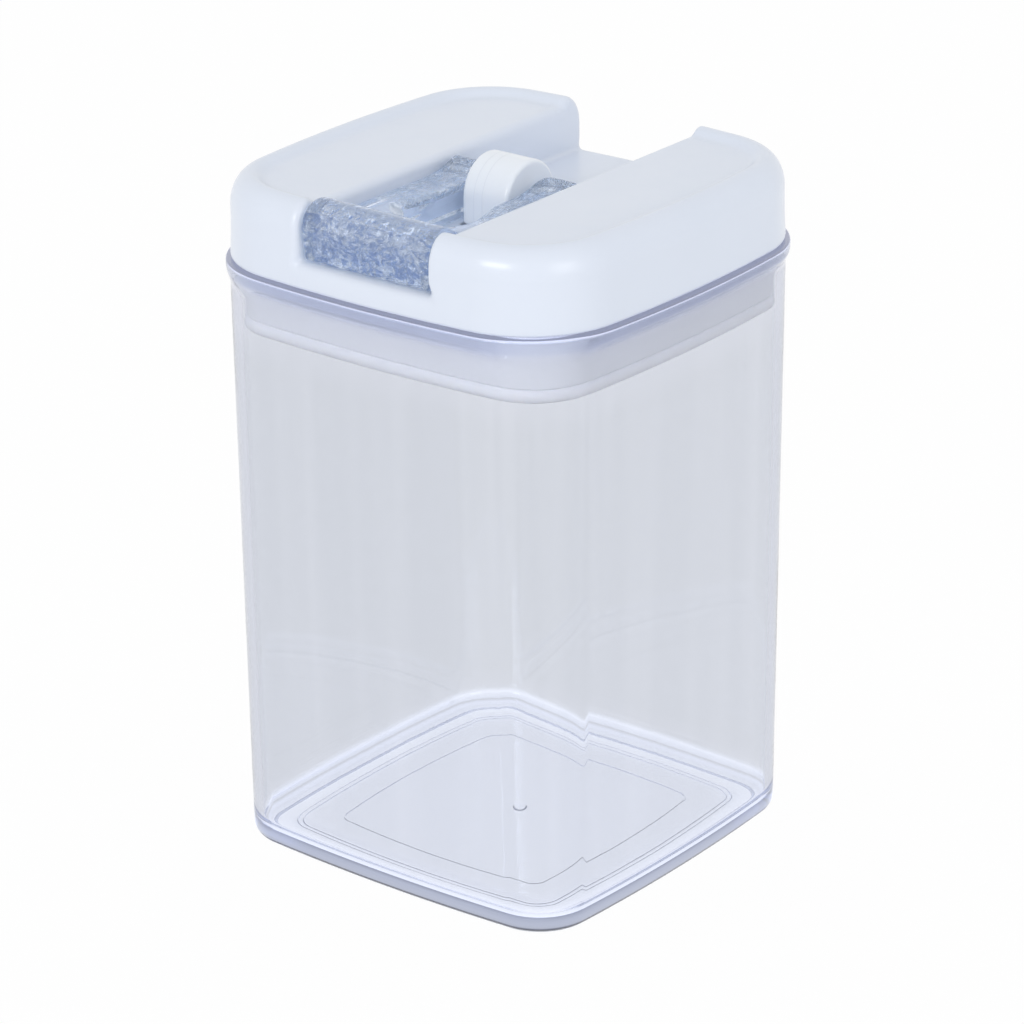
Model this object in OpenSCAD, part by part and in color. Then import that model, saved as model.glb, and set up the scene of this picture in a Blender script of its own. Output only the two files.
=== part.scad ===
// Square clear-plastic storage canister with a lever-locked plug lid. Millimetres.
// Z is up and Z = 0 is the foot. -Y is the side the lever's tip is on. +X is its right.
// The lid is drawn shut and locked. The lever flips up and back, and its cams let the
// stem and pressure plate drop, which slackens the gasket.

/* [Container] */
// Height of the clear container up to the top of its rim
container_h = 139.7; // [110:0.1:240]
// Width of the lid across its sides at the corners, the overall plan size
lid_w = 100; // [90:1:140]
// How far each side swells outwards at its middle
side_bow = 1.25; // [0.2:0.05:3]
// How far the container's side stands in from the lid's side, under the rim
body_inset = 1.6; // [1:0.1:4]
// Draft of each side from the rim to the foot
body_draft = 1.8; // [0.5:0.1:4]
// Corner radius of the container under the rim
body_top_r = 15.6; // [10:0.2:22]
// Corner radius of the container at the foot
body_base_r = 12.4; // [8:0.2:22]
// Thickness of the container's walls
wall_t = 2.2; // [1.5:0.1:3]
// Thickness of the container's floor
floor_t = 3.2; // [2:0.1:5]
// Rounding where the walls meet the foot
base_round = 3; // [1:0.5:6]
// How far the rim flange stands out past the lid's side
flange_out = 1.1; // [0.5:0.1:3]
// Thickness of the rim flange
flange_t = 2.2; // [1.5:0.1:4]
// Height of the sloped underside that carries the flange
flange_slope = 2.8; // [1:0.1:5]
// Width of the ring the container stands on
foot_ring = 2.6; // [2:0.1:6]
// Depth of the recess inside the standing ring
foot_recess = 0.8; // [0.4:0.1:1.5]
// Distance from the side to the raised panel in the floor
panel_inset = 9.5; // [8:0.5:30]
// Height of the raised panel in the floor
panel_rise = 0.5; // [0.2:0.1:1]
// Radius of the round gate mark in the middle of the floor's underside
gate_r = 2; // [1:0.5:4]

/* [Lid cover] */
// Height of the white cover from its lower edge to its crown
cover_h = 18.8; // [16:0.1:26]
// Corner radius of the lid in plan
lid_r = 21; // [16:0.2:30]
// Thickness of the cover's skin
cover_t = 2.2; // [1.6:0.1:3]
// Width of the rounding between the cover's side and its crown
crown_run = 5; // [3:0.5:12]
// Height of the rounding between the cover's side and its crown
crown_rise = 7; // [5:0.2:14]
// Draft of the cover's side below the rounding
cover_draft = 0.4; // [0.1:0.1:1]
// Depth of the stacking dish in the cover's top
dish_depth = 1.6; // [0.6:0.1:2.5]
// Width of the bank between the crown and the dish's floor
dish_bank = 2.6; // [1:0.1:5]
// Width of the channel that crosses the cover from front to back
channel_w = 36; // [30:1:50]
// Height of the channel's floor above the cover's lower edge
channel_h = 5.7; // [5:0.1:8]

/* [Lid base and seal] */
// Thickness of the base plate that closes the cover
base_t = 2.4; // [2:0.1:3]
// How far the base plate sits up inside the cover
base_lift = 0.2; // [0.1:0.1:0.6]
// Gap between the plug skirt and the container's wall
skirt_gap = 1.1; // [0.8:0.1:2]
// Thickness of the plug skirt
skirt_t = 2.2; // [1.6:0.1:3]
// Depth of the plug skirt below the cover's lower edge
skirt_h = 12.3; // [8:0.1:16]
// Height of the gasket
gasket_h = 3; // [2.4:0.1:8]
// Width of the gasket's ring
gasket_w = 5.6; // [4.8:0.1:7]
// How far the gasket's bead stands out past the skirt
bead_out = 0.6; // [0.2:0.05:0.7]
// Thickness of the pressure plate
plate_t = 3; // [2:0.1:5]
// Thickness of the pressure plate's rim, which presses on the gasket
plate_rim_t = 1.2; // [1:0.1:2]
// How far the pressure plate's rim stands in from the skirt's side
plate_inset = 4; // [1:0.1:4.4]
// Height of the ribs on the pressure plate
rib_h = 1.7; // [1:0.1:2]

/* [Lever and stem] */
// Height of the lever's hinge above the channel's floor
pivot_h = 5.8; // [5:0.1:8]
// Angle the lever flips through
flip_deg = 90; // [80:1:95]
// How far the stem drops while the lever flips
drop = 2.7; // [1.5:0.1:2.8]
// Radius of the stem's round head
head_r = 8.7; // [7:0.1:10]
// Width of the stem's round head
head_w = 12.4; // [9:0.2:16]
// Chamfer round the stem's head
head_bevel = 1.4; // [0.5:0.1:2]
// Radius of the stem's post
post_r = 5; // [4:0.1:6]
// Radius of the hinge pin
pin_r = 1.5; // [1:0.1:2]
// Distance of the lever's front face behind the middle of the lid's front side
lever_back = 1.65; // [1:0.05:4]
// Depth of the lever's finger bar from front to back
bar_depth = 18.6; // [14:0.2:24]
// Height of the lever's crest above its hinge
crest_rise = 7.4; // [6.5:0.1:10]
// Radius of the lever's crest
crest_r = 5.7; // [4.5:0.1:7]
// Radius of the hollow sweep behind the crest
sweep_r = 7; // [4:0.5:12]
// Height of the lever's arms above its hinge
arm_rise = 2.6; // [2.4:0.1:4]
// Height of the arms' upturned ends above the hinge
end_rise = 5.3; // [4.5:0.1:6]
// Length of the arms' upturned ends
end_run = 11.8; // [8:0.2:16]
// Slope of the lever's front face between its crest and its lower edge
front_rake = 1; // [0:0.1:3]
// Thickness of the lever's shell
lever_t = 2.4; // [1.8:0.1:3]
// Rounding of the inner corners of the arms' ends
end_round = 3.1; // [1:0.1:3.5]

/* [Screws] */
// Thread radius of the cover screws
screw_r = 1.2; // [1:0.1:1.5]
// Head radius of the cover screws
screw_head_r = 2.6; // [2:0.1:3]
// Distance of the cover screws from the lid's middle planes
screw_at = 31; // [28:0.5:40]
// Thread radius of the stem screw
stem_screw_r = 1.6; // [1.2:0.1:2]
// Head radius of the stem screw
stem_head_r = 3.4; // [2.5:0.1:4]

/* [Clearances] */
// Gap between faces that part when the lid or the lever moves
part_gap = 0.3; // [0.3:0.05:0.5]
// Gap each side of the lever in the channel and of the head in its window
side_gap = 0.6; // [0.3:0.1:1]
// Radial clearance of the post and the pin in their bores
run_gap = 0.06; // [0.03:0.01:0.1]
// Gap between pieces that are fixed together
fit_gap = 0.1; // [0.05:0.01:0.2]

/* [Hidden] */
lid_half = lid_w / 2;
top_half = lid_half - body_inset;
base_half = top_half - body_draft;
// Levels, from the rim upwards
rim_z = container_h + part_gap;
channel_z = rim_z + channel_h;
pivot_z = channel_z + pivot_h;
crown_z = rim_z + cover_h;
dish_z = crown_z - dish_depth;
crown_inset = cover_draft + crown_run;
dish_inset = crown_inset + dish_bank;
plate_floor_z = rim_z + base_lift;
plate_top_z = plate_floor_z + base_t;
trough_z = channel_z - cover_t;
// Levels of the seal, from the rim downwards
ledge_z = rim_z - skirt_h;
gasket_z = ledge_z - gasket_h;
press_top_z = gasket_z - part_gap - fit_gap;
press_z = press_top_z - plate_t;
boss_z = press_top_z + 3;
skirt_half = top_half - wall_t - skirt_gap;
skirt_r = body_top_r - wall_t - 0.8;
seat_inset = gasket_w + fit_gap;
rib_inset = seat_inset + skirt_t;
// Lever, measured from its hinge axis in Y and Z
cam_h = pivot_h - part_gap;
cam_rate = drop / (flip_deg * PI / 180);
arm_end = cam_h - drop;
lever_w = channel_w - 2 * side_gap;
well_w = head_w + 2.2;
tip_y = -(lid_half + side_bow - lever_back);
lower_z = -(pivot_h - part_gap - fit_gap);
crest_y = tip_y + crest_r;
crest_z = crest_rise - crest_r;
sweep_z = arm_rise + sweep_r;
sweep_y = crest_y + sqrt(pow(crest_r + sweep_r, 2) - pow(sweep_z - crest_z, 2));
well_y = tip_y + bar_depth;
end_r = (end_run * end_run + pow(end_rise - arm_rise, 2)) / (2 * (end_rise - arm_rise));
head_foot_z = plate_top_z + part_gap + drop;
pin_l = lever_w - 1.6;
seal_t = 0.8;
head_h = 1.9;
side_n = 6;
corner_n = 10;
arc_n = 14;
slice = 0.02;
over = 1;
$fn = 64;

clear = [0.86, 0.89, 0.93, 0.35];
white = [0.93, 0.94, 0.96];
silicone = [0.90, 0.92, 0.93];
steel = [0.72, 0.73, 0.75];

// ---- plan outlines ----

function turned(p, a) = [p[0] * cos(a) - p[1] * sin(a), p[0] * sin(a) + p[1] * cos(a)];

// A square with rounded corners and gently bowed sides, drawn in by "inset".
// The side arcs and the corner arcs share their tangents.
function plan(half, r, inset = 0) =
    let (flat = half - r,
         side_r = (flat * flat + side_bow * side_bow) / (2 * side_bow),
         a = asin(flat / side_r),
         corner_r = r / (cos(a) - sin(a)),
         c = flat - corner_r * sin(a),
         s = half + side_bow - side_r)
    [for (q = [0:3]) each concat(
        [for (i = [0:side_n - 1]) let (t = a * (2 * i / side_n - 1))
            turned([s + (side_r - inset) * cos(t), (side_r - inset) * sin(t)], 90 * q)],
        [for (i = [0:corner_n - 1]) let (t = a + (90 - 2 * a) * i / corner_n)
            turned([c + (corner_r - inset) * cos(t), c + (corner_r - inset) * sin(t)], 90 * q)])];

module slab(half, r, inset, z0, z1) {
    translate([0, 0, z0]) linear_extrude(height = z1 - z0) polygon(plan(half, r, inset));
}

// A ring of the same plan between two insets
module ring(half, r, outer, inner, z0, z1) {
    translate([0, 0, z0]) linear_extrude(height = z1 - z0) difference() {
        polygon(plan(half, r, outer));
        polygon(plan(half, r, inner));
    }
}

// ---- container ----

// Half width and corner radius of the tapered body at a height
function half_at(z) = base_half + (top_half - base_half) * z / container_h;
function r_at(z) = body_base_r + (body_top_r - body_base_r) * z / container_h;

// The tapered body, drawn in by "inset", rounded at the foot by "round"
module tapered(inset, z0, z1, round) {
    hull() {
        for (t = [0:22.5:90])
            let (z = z0 + round * (1 - cos(t)))
            slab(half_at(z), r_at(z), inset + round * (1 - sin(t)), z, z + slice);
        slab(half_at(z1), r_at(z1), inset, z1 - slice, z1);
    }
}

module container_body() {
    panel_half = base_half - panel_inset;
    under_z = container_h - flange_t;
    foot_z = under_z - flange_slope;
    color(clear) difference() {
        union() {
            tapered(0, 0, container_h, base_round);
            slab(lid_half + flange_out, lid_r + flange_out, 0, container_h - flange_t, container_h);
            hull() {
                slab(lid_half + flange_out, lid_r + flange_out, 0, under_z, under_z + slice);
                slab(half_at(foot_z), r_at(foot_z), 0, foot_z, foot_z + slice);
            }
        }
        difference() {
            tapered(wall_t, floor_t, container_h + over, base_round);
            slab(panel_half, body_base_r / 2, 0, 0, floor_t + panel_rise);
        }
        // shallow recess inside the standing ring, with a ridge and the gate mark in it
        difference() {
            slab(base_half, body_base_r, base_round + foot_ring, -over, foot_recess);
            ring(panel_half, body_base_r / 2, 0, 0.8, foot_recess / 2, foot_recess + over);
            translate([0, 0, foot_recess / 2]) cylinder(r = gate_r, h = foot_recess);
        }
    }
}

// ---- lid cover ----

// The cover's rounded block, drawn in by "inset" and lowered by "lower" at its crown
module crowned(inset, z0, lower) {
    hull() {
        slab(lid_half, lid_r, inset, z0, z0 + slice);
        for (t = [0:15:90])
            let (z = crown_z - crown_rise + (crown_rise - lower) * sin(t))
            slab(lid_half, lid_r, inset + cover_draft + crown_run * (1 - cos(t)), z - slice, z);
    }
}

// Posts inside the wings that take the cover screws
module at_cover_screws() {
    for (x = [-1, 1], y = [-1, 1]) translate([x * screw_at, y * screw_at, 0]) children();
}

module lid_cover() {
    window = [head_w + 2 * side_gap, 2 * head_r + 2 * side_gap];
    trough_w = channel_w + 2 * cover_t;
    color(white) difference() {
        crowned(0, rim_z, 0);
        // hollow wings either side of the trough
        difference() {
            crowned(cover_t, rim_z - over, dish_depth + cover_t);
            translate([-trough_w / 2, -lid_w, trough_z]) cube([trough_w, 2 * lid_w, cover_h]);
            at_cover_screws() translate([0, 0, plate_top_z + fit_gap])
                cylinder(r = screw_r + 2.2, h = cover_h);
        }
        // channel from front to back
        translate([-channel_w / 2, -lid_w, channel_z]) cube([channel_w, 2 * lid_w, cover_h]);
        // stacking dish
        hull() {
            slab(lid_half, lid_r, dish_inset, dish_z, dish_z + slice);
            slab(lid_half, lid_r, crown_inset, crown_z, crown_z + slice);
        }
        // window for the stem's head
        translate([-window[0] / 2, -window[1] / 2, trough_z - over])
            cube([window[0], window[1], cover_t + 2 * over]);
        at_cover_screws() cylinder(r = screw_r + fit_gap, h = dish_z - cover_t);
    }
}

// ---- lid base, seal and plate ----

module lid_base() {
    pad = [(lever_w - well_w) / 2, 2 * head_r];
    color(white) difference() {
        union() {
            slab(lid_half, lid_r, cover_t + fit_gap + cover_draft / 4, plate_floor_z, plate_top_z);
            // plug skirt, ledge for the gasket, and the rib inside it
            ring(skirt_half, skirt_r, 0, skirt_t, ledge_z, plate_floor_z + over);
            ring(skirt_half, skirt_r, 0, rib_inset, ledge_z, ledge_z + skirt_t);
            ring(skirt_half, skirt_r, seat_inset, rib_inset, gasket_z + 1.5, ledge_z + over);
            // guide for the stem, pads under the lever's cams
            translate([0, 0, ledge_z + 1.3])
                cylinder(r = post_r + skirt_t, h = plate_top_z - ledge_z - 1.3);
            for (s = [-1, 1])
                translate([s * (well_w + lever_w) / 4 - pad[0] / 2, -pad[1] / 2, plate_floor_z])
                    cube([pad[0], pad[1], trough_z - fit_gap - plate_floor_z]);
        }
        cylinder(r = post_r + run_gap, h = rim_z + cover_h);
        at_cover_screws() cylinder(r = screw_r + 0.3, h = rim_z + cover_h);
    }
}

module gasket() {
    third = gasket_h / 3;
    color(silicone) {
        ring(skirt_half, skirt_r, 0, gasket_w, gasket_z, ledge_z);
        ring(skirt_half, skirt_r, -bead_out / 2, over, gasket_z + 0.5, ledge_z - 0.5);
        ring(skirt_half, skirt_r, -bead_out, over, gasket_z + third, ledge_z - third);
    }
}

module pressure_plate() {
    boss_r = stem_head_r + 3;
    color(white) difference() {
        union() {
            slab(skirt_half, skirt_r, plate_inset, press_top_z - plate_rim_t, press_top_z);
            slab(skirt_half, skirt_r, rib_inset + 0.8, press_z, press_top_z);
            ring(skirt_half, skirt_r, rib_inset + 0.8, rib_inset + 2.8, press_z, press_top_z + rib_h);
            for (a = [0, 90]) rotate(a) translate([-skirt_half + rib_inset + 1.8, -1, press_z])
                cube([2 * (skirt_half - rib_inset - 1.8), 2, plate_t + rib_h]);
            translate([0, 0, press_z]) cylinder(r = boss_r, h = boss_z - press_z);
        }
        translate([0, 0, press_z - over]) cylinder(r = stem_head_r + 0.4, h = plate_t + over);
        cylinder(r = stem_screw_r + fit_gap, h = rim_z);
    }
}

module screw_seal() {
    color(silicone) translate([0, 0, press_top_z - seal_t]) difference() {
        cylinder(r = stem_head_r, h = seal_t);
        translate([0, 0, -over]) cylinder(r = stem_screw_r + fit_gap, h = seal_t + 2 * over);
    }
}

// ---- stem, pin and lever ----

// Profiles in this group are drawn in Y and Z from the hinge axis and laid along X
module across(w) {
    translate([0, 0, pivot_z]) rotate([90, 0, 90]) linear_extrude(height = w, center = true) children();
}

// Round above the hinge and square below it, cut off flat at its foot
module head_profile(inset) {
    foot = head_foot_z - pivot_z;
    intersection() {
        union() {
            circle(r = head_r - inset);
            translate([-head_r + inset, foot]) square([2 * (head_r - inset), -foot]);
        }
        translate([-2 * head_r, foot]) square(4 * head_r);
    }
}

module draw_stem() {
    color(white) difference() {
        union() {
            hull() {
                across(head_w - 2 * head_bevel) head_profile(0);
                across(head_w) head_profile(head_bevel);
            }
            translate([0, 0, boss_z]) cylinder(r = post_r, h = head_foot_z - boss_z + over);
        }
        across(head_w + over) circle(r = pin_r + fit_gap / 5);
        translate([0, 0, boss_z - over]) cylinder(r = stem_screw_r + fit_gap / 2, h = 14 + over);
    }
}

module lever_pin() {
    color(steel) across(pin_l) circle(r = pin_r);
}

// The cam's curve keeps the same gap to the channel's floor while the stem drops evenly
cam = [for (a = [0:flip_deg / 15:flip_deg]) let (h = cam_h - cam_rate * a * PI / 180)
    [h * sin(a) - cam_rate * cos(a), -h * cos(a) - cam_rate * sin(a)]];

// Points along an arc from angle a0 to a1
function arc(c, r, a0, a1) = [for (i = [0:arc_n]) let (t = a0 + (a1 - a0) * i / arc_n)
    [c[0] + r * cos(t), c[1] + r * sin(t)]];

// Round the lever from its lower front edge: the cams, the upturned ends of the arms,
// the hollow sweep behind the crest, and the crest
module lever_profile() {
    end_c = [arm_end - end_run, arm_rise + end_r];
    join_a = atan2(sweep_z - crest_z, sweep_y - crest_y);
    polygon(concat(
        [[tip_y + front_rake, lower_z], [-cam_rate - 2, lower_z]], cam,
        arc(end_c, end_r, -90 + asin(end_run / end_r), -90),
        arc([sweep_y, sweep_z], sweep_r, -90, join_a - 180),
        arc([crest_y, crest_z], crest_r, join_a, 180)));
}

module lever_pocket() {
    under_z = lower_z - over;
    top_z = arm_rise - lever_t;
    back_y = well_y - lever_t;
    translate([crest_y, crest_z]) circle(r = crest_r - lever_t);
    polygon([[tip_y + lever_t, crest_z], [tip_y + front_rake + lever_t, under_z], [back_y, under_z],
             [back_y, top_z], [crest_y + crest_r - lever_t, top_z], [crest_y + crest_r - lever_t, crest_z]]);
}

// The open well between the arms, in plan
module well() {
    translate([0, well_y + well_w / 2]) circle(d = well_w);
    translate([-well_w / 2, well_y + well_w / 2]) square([well_w, arm_end + over - well_y - well_w / 2]);
    difference() {
        translate([-well_w / 2 - end_round, arm_end - end_round])
            square([well_w + 2 * end_round, end_round + over]);
        for (s = [-1, 1]) translate([s * (well_w / 2 + end_round), arm_end - end_round])
            circle(r = end_round);
    }
}

module lever() {
    color(clear) difference() {
        across(lever_w) lever_profile();
        across(lever_w - 2 * lever_t) lever_pocket();
        translate([0, 0, channel_z - over]) linear_extrude(height = cover_h) well();
        across(lever_w + over) circle(r = pin_r + run_gap);
    }
}

// ---- screws ----

module stem_screw() {
    top_z = press_top_z - seal_t;
    color(steel) difference() {
        union() {
            translate([0, 0, top_z - head_h]) cylinder(r = stem_head_r - 0.2, h = head_h);
            cylinder_from(top_z, boss_z + 12, stem_screw_r);
        }
        cross_recess(top_z - head_h, stem_head_r);
    }
}

module cylinder_from(z0, z1, r) {
    translate([0, 0, z0]) cylinder(r = r, h = z1 - z0);
}

// The crossed slots a driver turns, cut up into a head that faces down
module cross_recess(z, r) {
    for (a = [0, 90]) rotate(a) translate([-0.6 * r, -0.15 * r, z - over])
        cube([1.2 * r, 0.3 * r, over + 0.9]);
}

module cover_screws() {
    color(steel) at_cover_screws() difference() {
        union() {
            cylinder_from(plate_floor_z - 1.6, plate_floor_z, screw_head_r);
            cylinder_from(plate_floor_z - over, plate_top_z + 9, screw_r);
        }
        cross_recess(plate_floor_z - 1.6, screw_head_r);
    }
}

container_body();
lid_cover();
lid_base();
gasket();
pressure_plate();
draw_stem();
lever();
lever_pin();
stem_screw();
screw_seal();
cover_screws();
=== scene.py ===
# %% [markdown]
# A square clear canister with a lever-locked lid
#
# This file builds the looks of a one-litre kitchen canister around its CAD frame: a clear
# box, a white plug lid with a stacking dish, a clear lever in a channel across the lid, and
# the small pieces that make the lever pull the seal tight. Each step says what the piece is
# on the real object, how it could be made, and why it is made the way it is here.
#
# Sizes are written in millimetres and become metres only when a mesh is made.

import math
from functools import reduce

import bmesh
import bpy
import numpy as np
from mathutils import Matrix, Vector


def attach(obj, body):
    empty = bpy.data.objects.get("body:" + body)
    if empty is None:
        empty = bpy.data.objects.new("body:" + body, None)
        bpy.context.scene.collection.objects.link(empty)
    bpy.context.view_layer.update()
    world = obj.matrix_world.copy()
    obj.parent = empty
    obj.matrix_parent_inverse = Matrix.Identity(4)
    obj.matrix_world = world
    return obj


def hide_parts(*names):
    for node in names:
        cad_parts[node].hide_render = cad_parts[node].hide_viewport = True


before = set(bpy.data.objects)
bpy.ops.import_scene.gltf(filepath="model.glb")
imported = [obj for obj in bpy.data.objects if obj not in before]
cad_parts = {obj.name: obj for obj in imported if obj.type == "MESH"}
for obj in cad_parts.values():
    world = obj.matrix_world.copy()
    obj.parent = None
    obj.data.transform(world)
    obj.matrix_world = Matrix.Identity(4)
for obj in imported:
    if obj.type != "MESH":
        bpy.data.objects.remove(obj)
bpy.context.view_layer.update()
MM = 0.001

# %% [markdown]
# The camera comes first, because everything after it is judged through it. It is a long
# lens about a metre away, looking down a little, so the walls stay nearly parallel. It is
# tilted by half a degree, as a hand-set tripod often is.

# %% Camera
AZIMUTH, ELEVATION, ROLL = map(math.radians, (38.4, 22.52, -0.59))
CAMERA_REACH = 979.05
AIM_HEIGHT = 76.04
LENS = 152.72
SENSOR, NEAREST = 36, 0.01


def link_object(name, data):
    made = bpy.data.objects.new(name, data)
    bpy.context.scene.collection.objects.link(made)
    return made


def place_camera():
    back = Vector((math.sin(AZIMUTH) * math.cos(ELEVATION),
                   -math.cos(AZIMUTH) * math.cos(ELEVATION), math.sin(ELEVATION)))
    level = Vector((0, 0, 1)).cross(back).normalized()
    upright = back.cross(level)
    right = math.cos(ROLL) * level + math.sin(ROLL) * upright
    up = math.cos(ROLL) * upright - math.sin(ROLL) * level
    lens = bpy.data.cameras.new("portrait_lens")
    lens.lens, lens.sensor_width, lens.clip_start = LENS, SENSOR, NEAREST
    camera = link_object("portrait_camera", lens)
    spot = (Vector((0, 0, AIM_HEIGHT)) + back * CAMERA_REACH) * MM
    turn = Matrix((right, up, back)).transposed().to_4x4()
    camera.matrix_world = Matrix.Translation(spot) @ turn
    bpy.context.scene.camera = camera
    print("camera at", [round(v, 3) for v in spot])


place_camera()

# %% [markdown]
# Shader trees and geometry trees are both wired by the same few helpers. A feed that is a
# socket becomes a link, and any other feed becomes the socket's own value. Chains of
# products and of maxima come up all the time, so each has a helper that takes any number
# of feeds and joins them two at a time.

# %% Wiring helpers


def feed_to(tree, target, feed):
    if isinstance(feed, bpy.types.NodeSocket):
        tree.links.new(feed, target)
    else:
        target.default_value = feed


def socket_of(sockets, key):
    if isinstance(key, int):
        return sockets[key]
    return next(s for s in sockets if s.name == key and s.enabled)


def add(tree, kind, feeds=None, **settings):
    made = tree.nodes.new(kind)
    for name, value in settings.items():
        setattr(made, name, value)
    for key, feed in (feeds or {}).items():
        feed_to(tree, socket_of(made.inputs, key), feed)
    return made


def maths(tree, kind, *feeds, clamp=False):
    return add(tree, "ShaderNodeMath", dict(enumerate(feeds)), operation=kind,
               use_clamp=clamp).outputs[0]


def vectors(tree, kind, *feeds):
    made = add(tree, "ShaderNodeVectorMath", operation=kind)
    for at, feed in enumerate(feeds):
        key = "Scale" if kind == "SCALE" and at == 1 else at
        feed_to(tree, made.inputs[key], feed)
    return made.outputs[0]


def times(tree, *feeds):
    return reduce(lambda a, b: maths(tree, "MULTIPLY", a, b), feeds)


def largest(tree, *feeds):
    return reduce(lambda a, b: maths(tree, "MAXIMUM", a, b), feeds)


def parts_of(tree, vector):
    """A vector's X, Y and Z."""
    return add(tree, "ShaderNodeSeparateXYZ", {0: vector}).outputs


def bare_tree(owner):
    """The emptied node tree of a world or a material."""
    owner.use_nodes = True
    owner.node_tree.nodes.clear()
    return owner.node_tree


# %% [markdown]
# The studio is a white table in a white room. The room is plain white wherever it is seen,
# in glass or directly, and a little softer where it only lights things. The table keeps a
# share of true diffuse white, so it still takes the canister's shadow.

# %% Room and table
ROOM_LIGHT = 0.72
TABLE_GLOW = 0.97
TABLE_REACH, TABLE_DROP = 12, 0.0002


def seen_directly(tree):
    """1 for camera, mirror and see-through rays."""
    path = add(tree, "ShaderNodeLightPath").outputs
    return largest(tree, path["Is Camera Ray"], path["Is Glossy Ray"],
                   path["Is Transmission Ray"])


def light_room():
    room = bpy.data.worlds.new("white_room")
    bpy.context.scene.world = room
    tree = bare_tree(room)
    soft = add(tree, "ShaderNodeBackground",
               {"Color": (0.97, 0.985, 1, 1), "Strength": ROOM_LIGHT})
    plain = add(tree, "ShaderNodeBackground", {"Color": (1, 1, 1, 1), "Strength": 1.0})
    both = add(tree, "ShaderNodeMixShader",
               {0: seen_directly(tree), 1: soft.outputs[0], 2: plain.outputs[0]})
    add(tree, "ShaderNodeOutputWorld", {"Surface": both.outputs[0]})


def lay_table():
    cloth = bpy.data.materials.new("white_table")
    tree = bare_tree(cloth)
    matt = add(tree, "ShaderNodeBsdfDiffuse", {"Color": (0.98, 0.98, 0.98, 1)})
    glow = add(tree, "ShaderNodeEmission", {"Color": (1, 1, 1, 1), "Strength": 1.0})
    share = times(tree, seen_directly(tree), TABLE_GLOW)
    both = add(tree, "ShaderNodeMixShader", {0: share, 1: matt.outputs[0], 2: glow.outputs[0]})
    add(tree, "ShaderNodeOutputMaterial", {"Surface": both.outputs[0]})
    mesh = bpy.data.meshes.new("table")
    mesh.from_pydata([(x * TABLE_REACH, y * TABLE_REACH, 0)
                      for x, y in ((-1, -1), (1, -1), (1, 1), (-1, 1))], [], [(0, 1, 2, 3)])
    mesh.materials.append(cloth)
    table = link_object("table", mesh)
    table.location.z = -TABLE_DROP


light_room()
lay_table()
print("table glow", TABLE_GLOW, "and room light", ROOM_LIGHT)

# %% [markdown]
# Two large soft lamps do the rest, one in front and above, and one on the right. Their
# size keeps the highlights on the gloss broad and soft.

# %% Lamps
LAMP_AIM = (0, 0, 0.09)


def hang_lamp(name, spot, size, power):
    """A soft rectangular lamp that faces the middle of the canister."""
    lamp = bpy.data.lights.new(name, "AREA")
    lamp.shape, lamp.size, lamp.size_y, lamp.energy = "RECTANGLE", *size, power
    holder = link_object(name, lamp)
    holder.location = spot
    holder.rotation_euler = (Vector(spot) - Vector(LAMP_AIM)).to_track_quat("Z", "Y").to_euler()
    print(name, power, "W")


hang_lamp("front_softbox", (0.0, -1.75, 0.95), (0.9, 0.4), 7.0)
hang_lamp("right_softbox", (1.75, -0.45, 0.75), (0.8, 0.9), 4.5)

# %% [markdown]
# Everything moulded here shares one plan: a square whose sides swell a little and whose
# corners are round. Side arcs and corner arcs meet tangentially, so no crease runs up the
# walls. The outline could be drawn as a curve, but two radii and a little geometry give
# points and outward directions exactly, and walls of clear plastic show every wobble.

# %% Plan outline
SIDE_BOW = 1.25
SIDE_STEPS, CORNER_STEPS = 12, 24
LID_HALF, LID_CORNER = 50.0, 21.0


def plan_arcs(half, corner):
    """Radii, lean and middles of a plan's side arc and corner arc."""
    flat = half - corner
    side_r = (flat * flat + SIDE_BOW * SIDE_BOW) / (2 * SIDE_BOW)
    lean = math.asin(flat / side_r)
    corner_r = corner / (math.cos(lean) - math.sin(lean))
    return side_r, corner_r, lean, half + SIDE_BOW - side_r, flat - corner_r * math.sin(lean)


def plan_outline(half, corner):
    """Points round the plan, and which way is outwards at each."""
    side_r, corner_r, lean, side_at, corner_at = plan_arcs(half, corner)
    side = np.linspace(-lean, lean, SIDE_STEPS, endpoint=False)
    bend = np.linspace(lean, math.pi / 2 - lean, CORNER_STEPS, endpoint=False)
    turn = np.concatenate([side, bend])
    outward = np.stack([np.cos(turn), np.sin(turn)], 1)
    on_side = np.arange(len(turn))[:, None] < SIDE_STEPS
    middle = np.where(on_side, (side_at, 0), (corner_at, corner_at))
    points = middle + np.where(on_side, side_r, corner_r) * outward
    turns = [np.linalg.matrix_power(np.array([[0, 1], [-1, 0]]), q) for q in range(4)]
    return [np.concatenate([part @ t for t in turns]) for part in (points, outward)]


def plan_depth(x, y, half, corner):
    """Distance from the outline, exact near it and below zero inside."""
    side_r, corner_r, lean, side_at, corner_at = plan_arcs(half, corner)
    x, y = np.abs(x), np.abs(y)
    far, near = np.maximum(x, y), np.minimum(x, y)
    side = np.hypot(far - side_at, near) - side_r
    bend = np.hypot(far - corner_at, near - corner_at) - corner_r
    return np.where(near - corner_at > (far - corner_at) * math.tan(lean), bend, side)


print(f"lid outline: {len(plan_outline(LID_HALF, LID_CORNER)[0])} points, its sides bowed to "
      f"{plan_arcs(LID_HALF, LID_CORNER)[0]:.0f} mm radius")


# %% [markdown]
# The container, gasket, base and pressure plate all follow one rule: a profile carried
# round the bowed square. That is a job for Geometry Nodes. The object's own mesh is the
# profile, one point per row, where X is how far in from the outline, Y the radius where the
# row is a plain circle, and Z the height. Two numbers on each point, rim and hub, say
# whether the row follows the wide rim outline or a circle. The outlines are objects too, so
# the first need is a small group that looks up one point of an outline.

# %% Point on an outline


def new_socket(tree, name, kind, put="INPUT", value=None):
    made = tree.interface.new_socket(name, in_out=put, socket_type=kind)
    if value is not None:
        made.default_value = value
    return made


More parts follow.
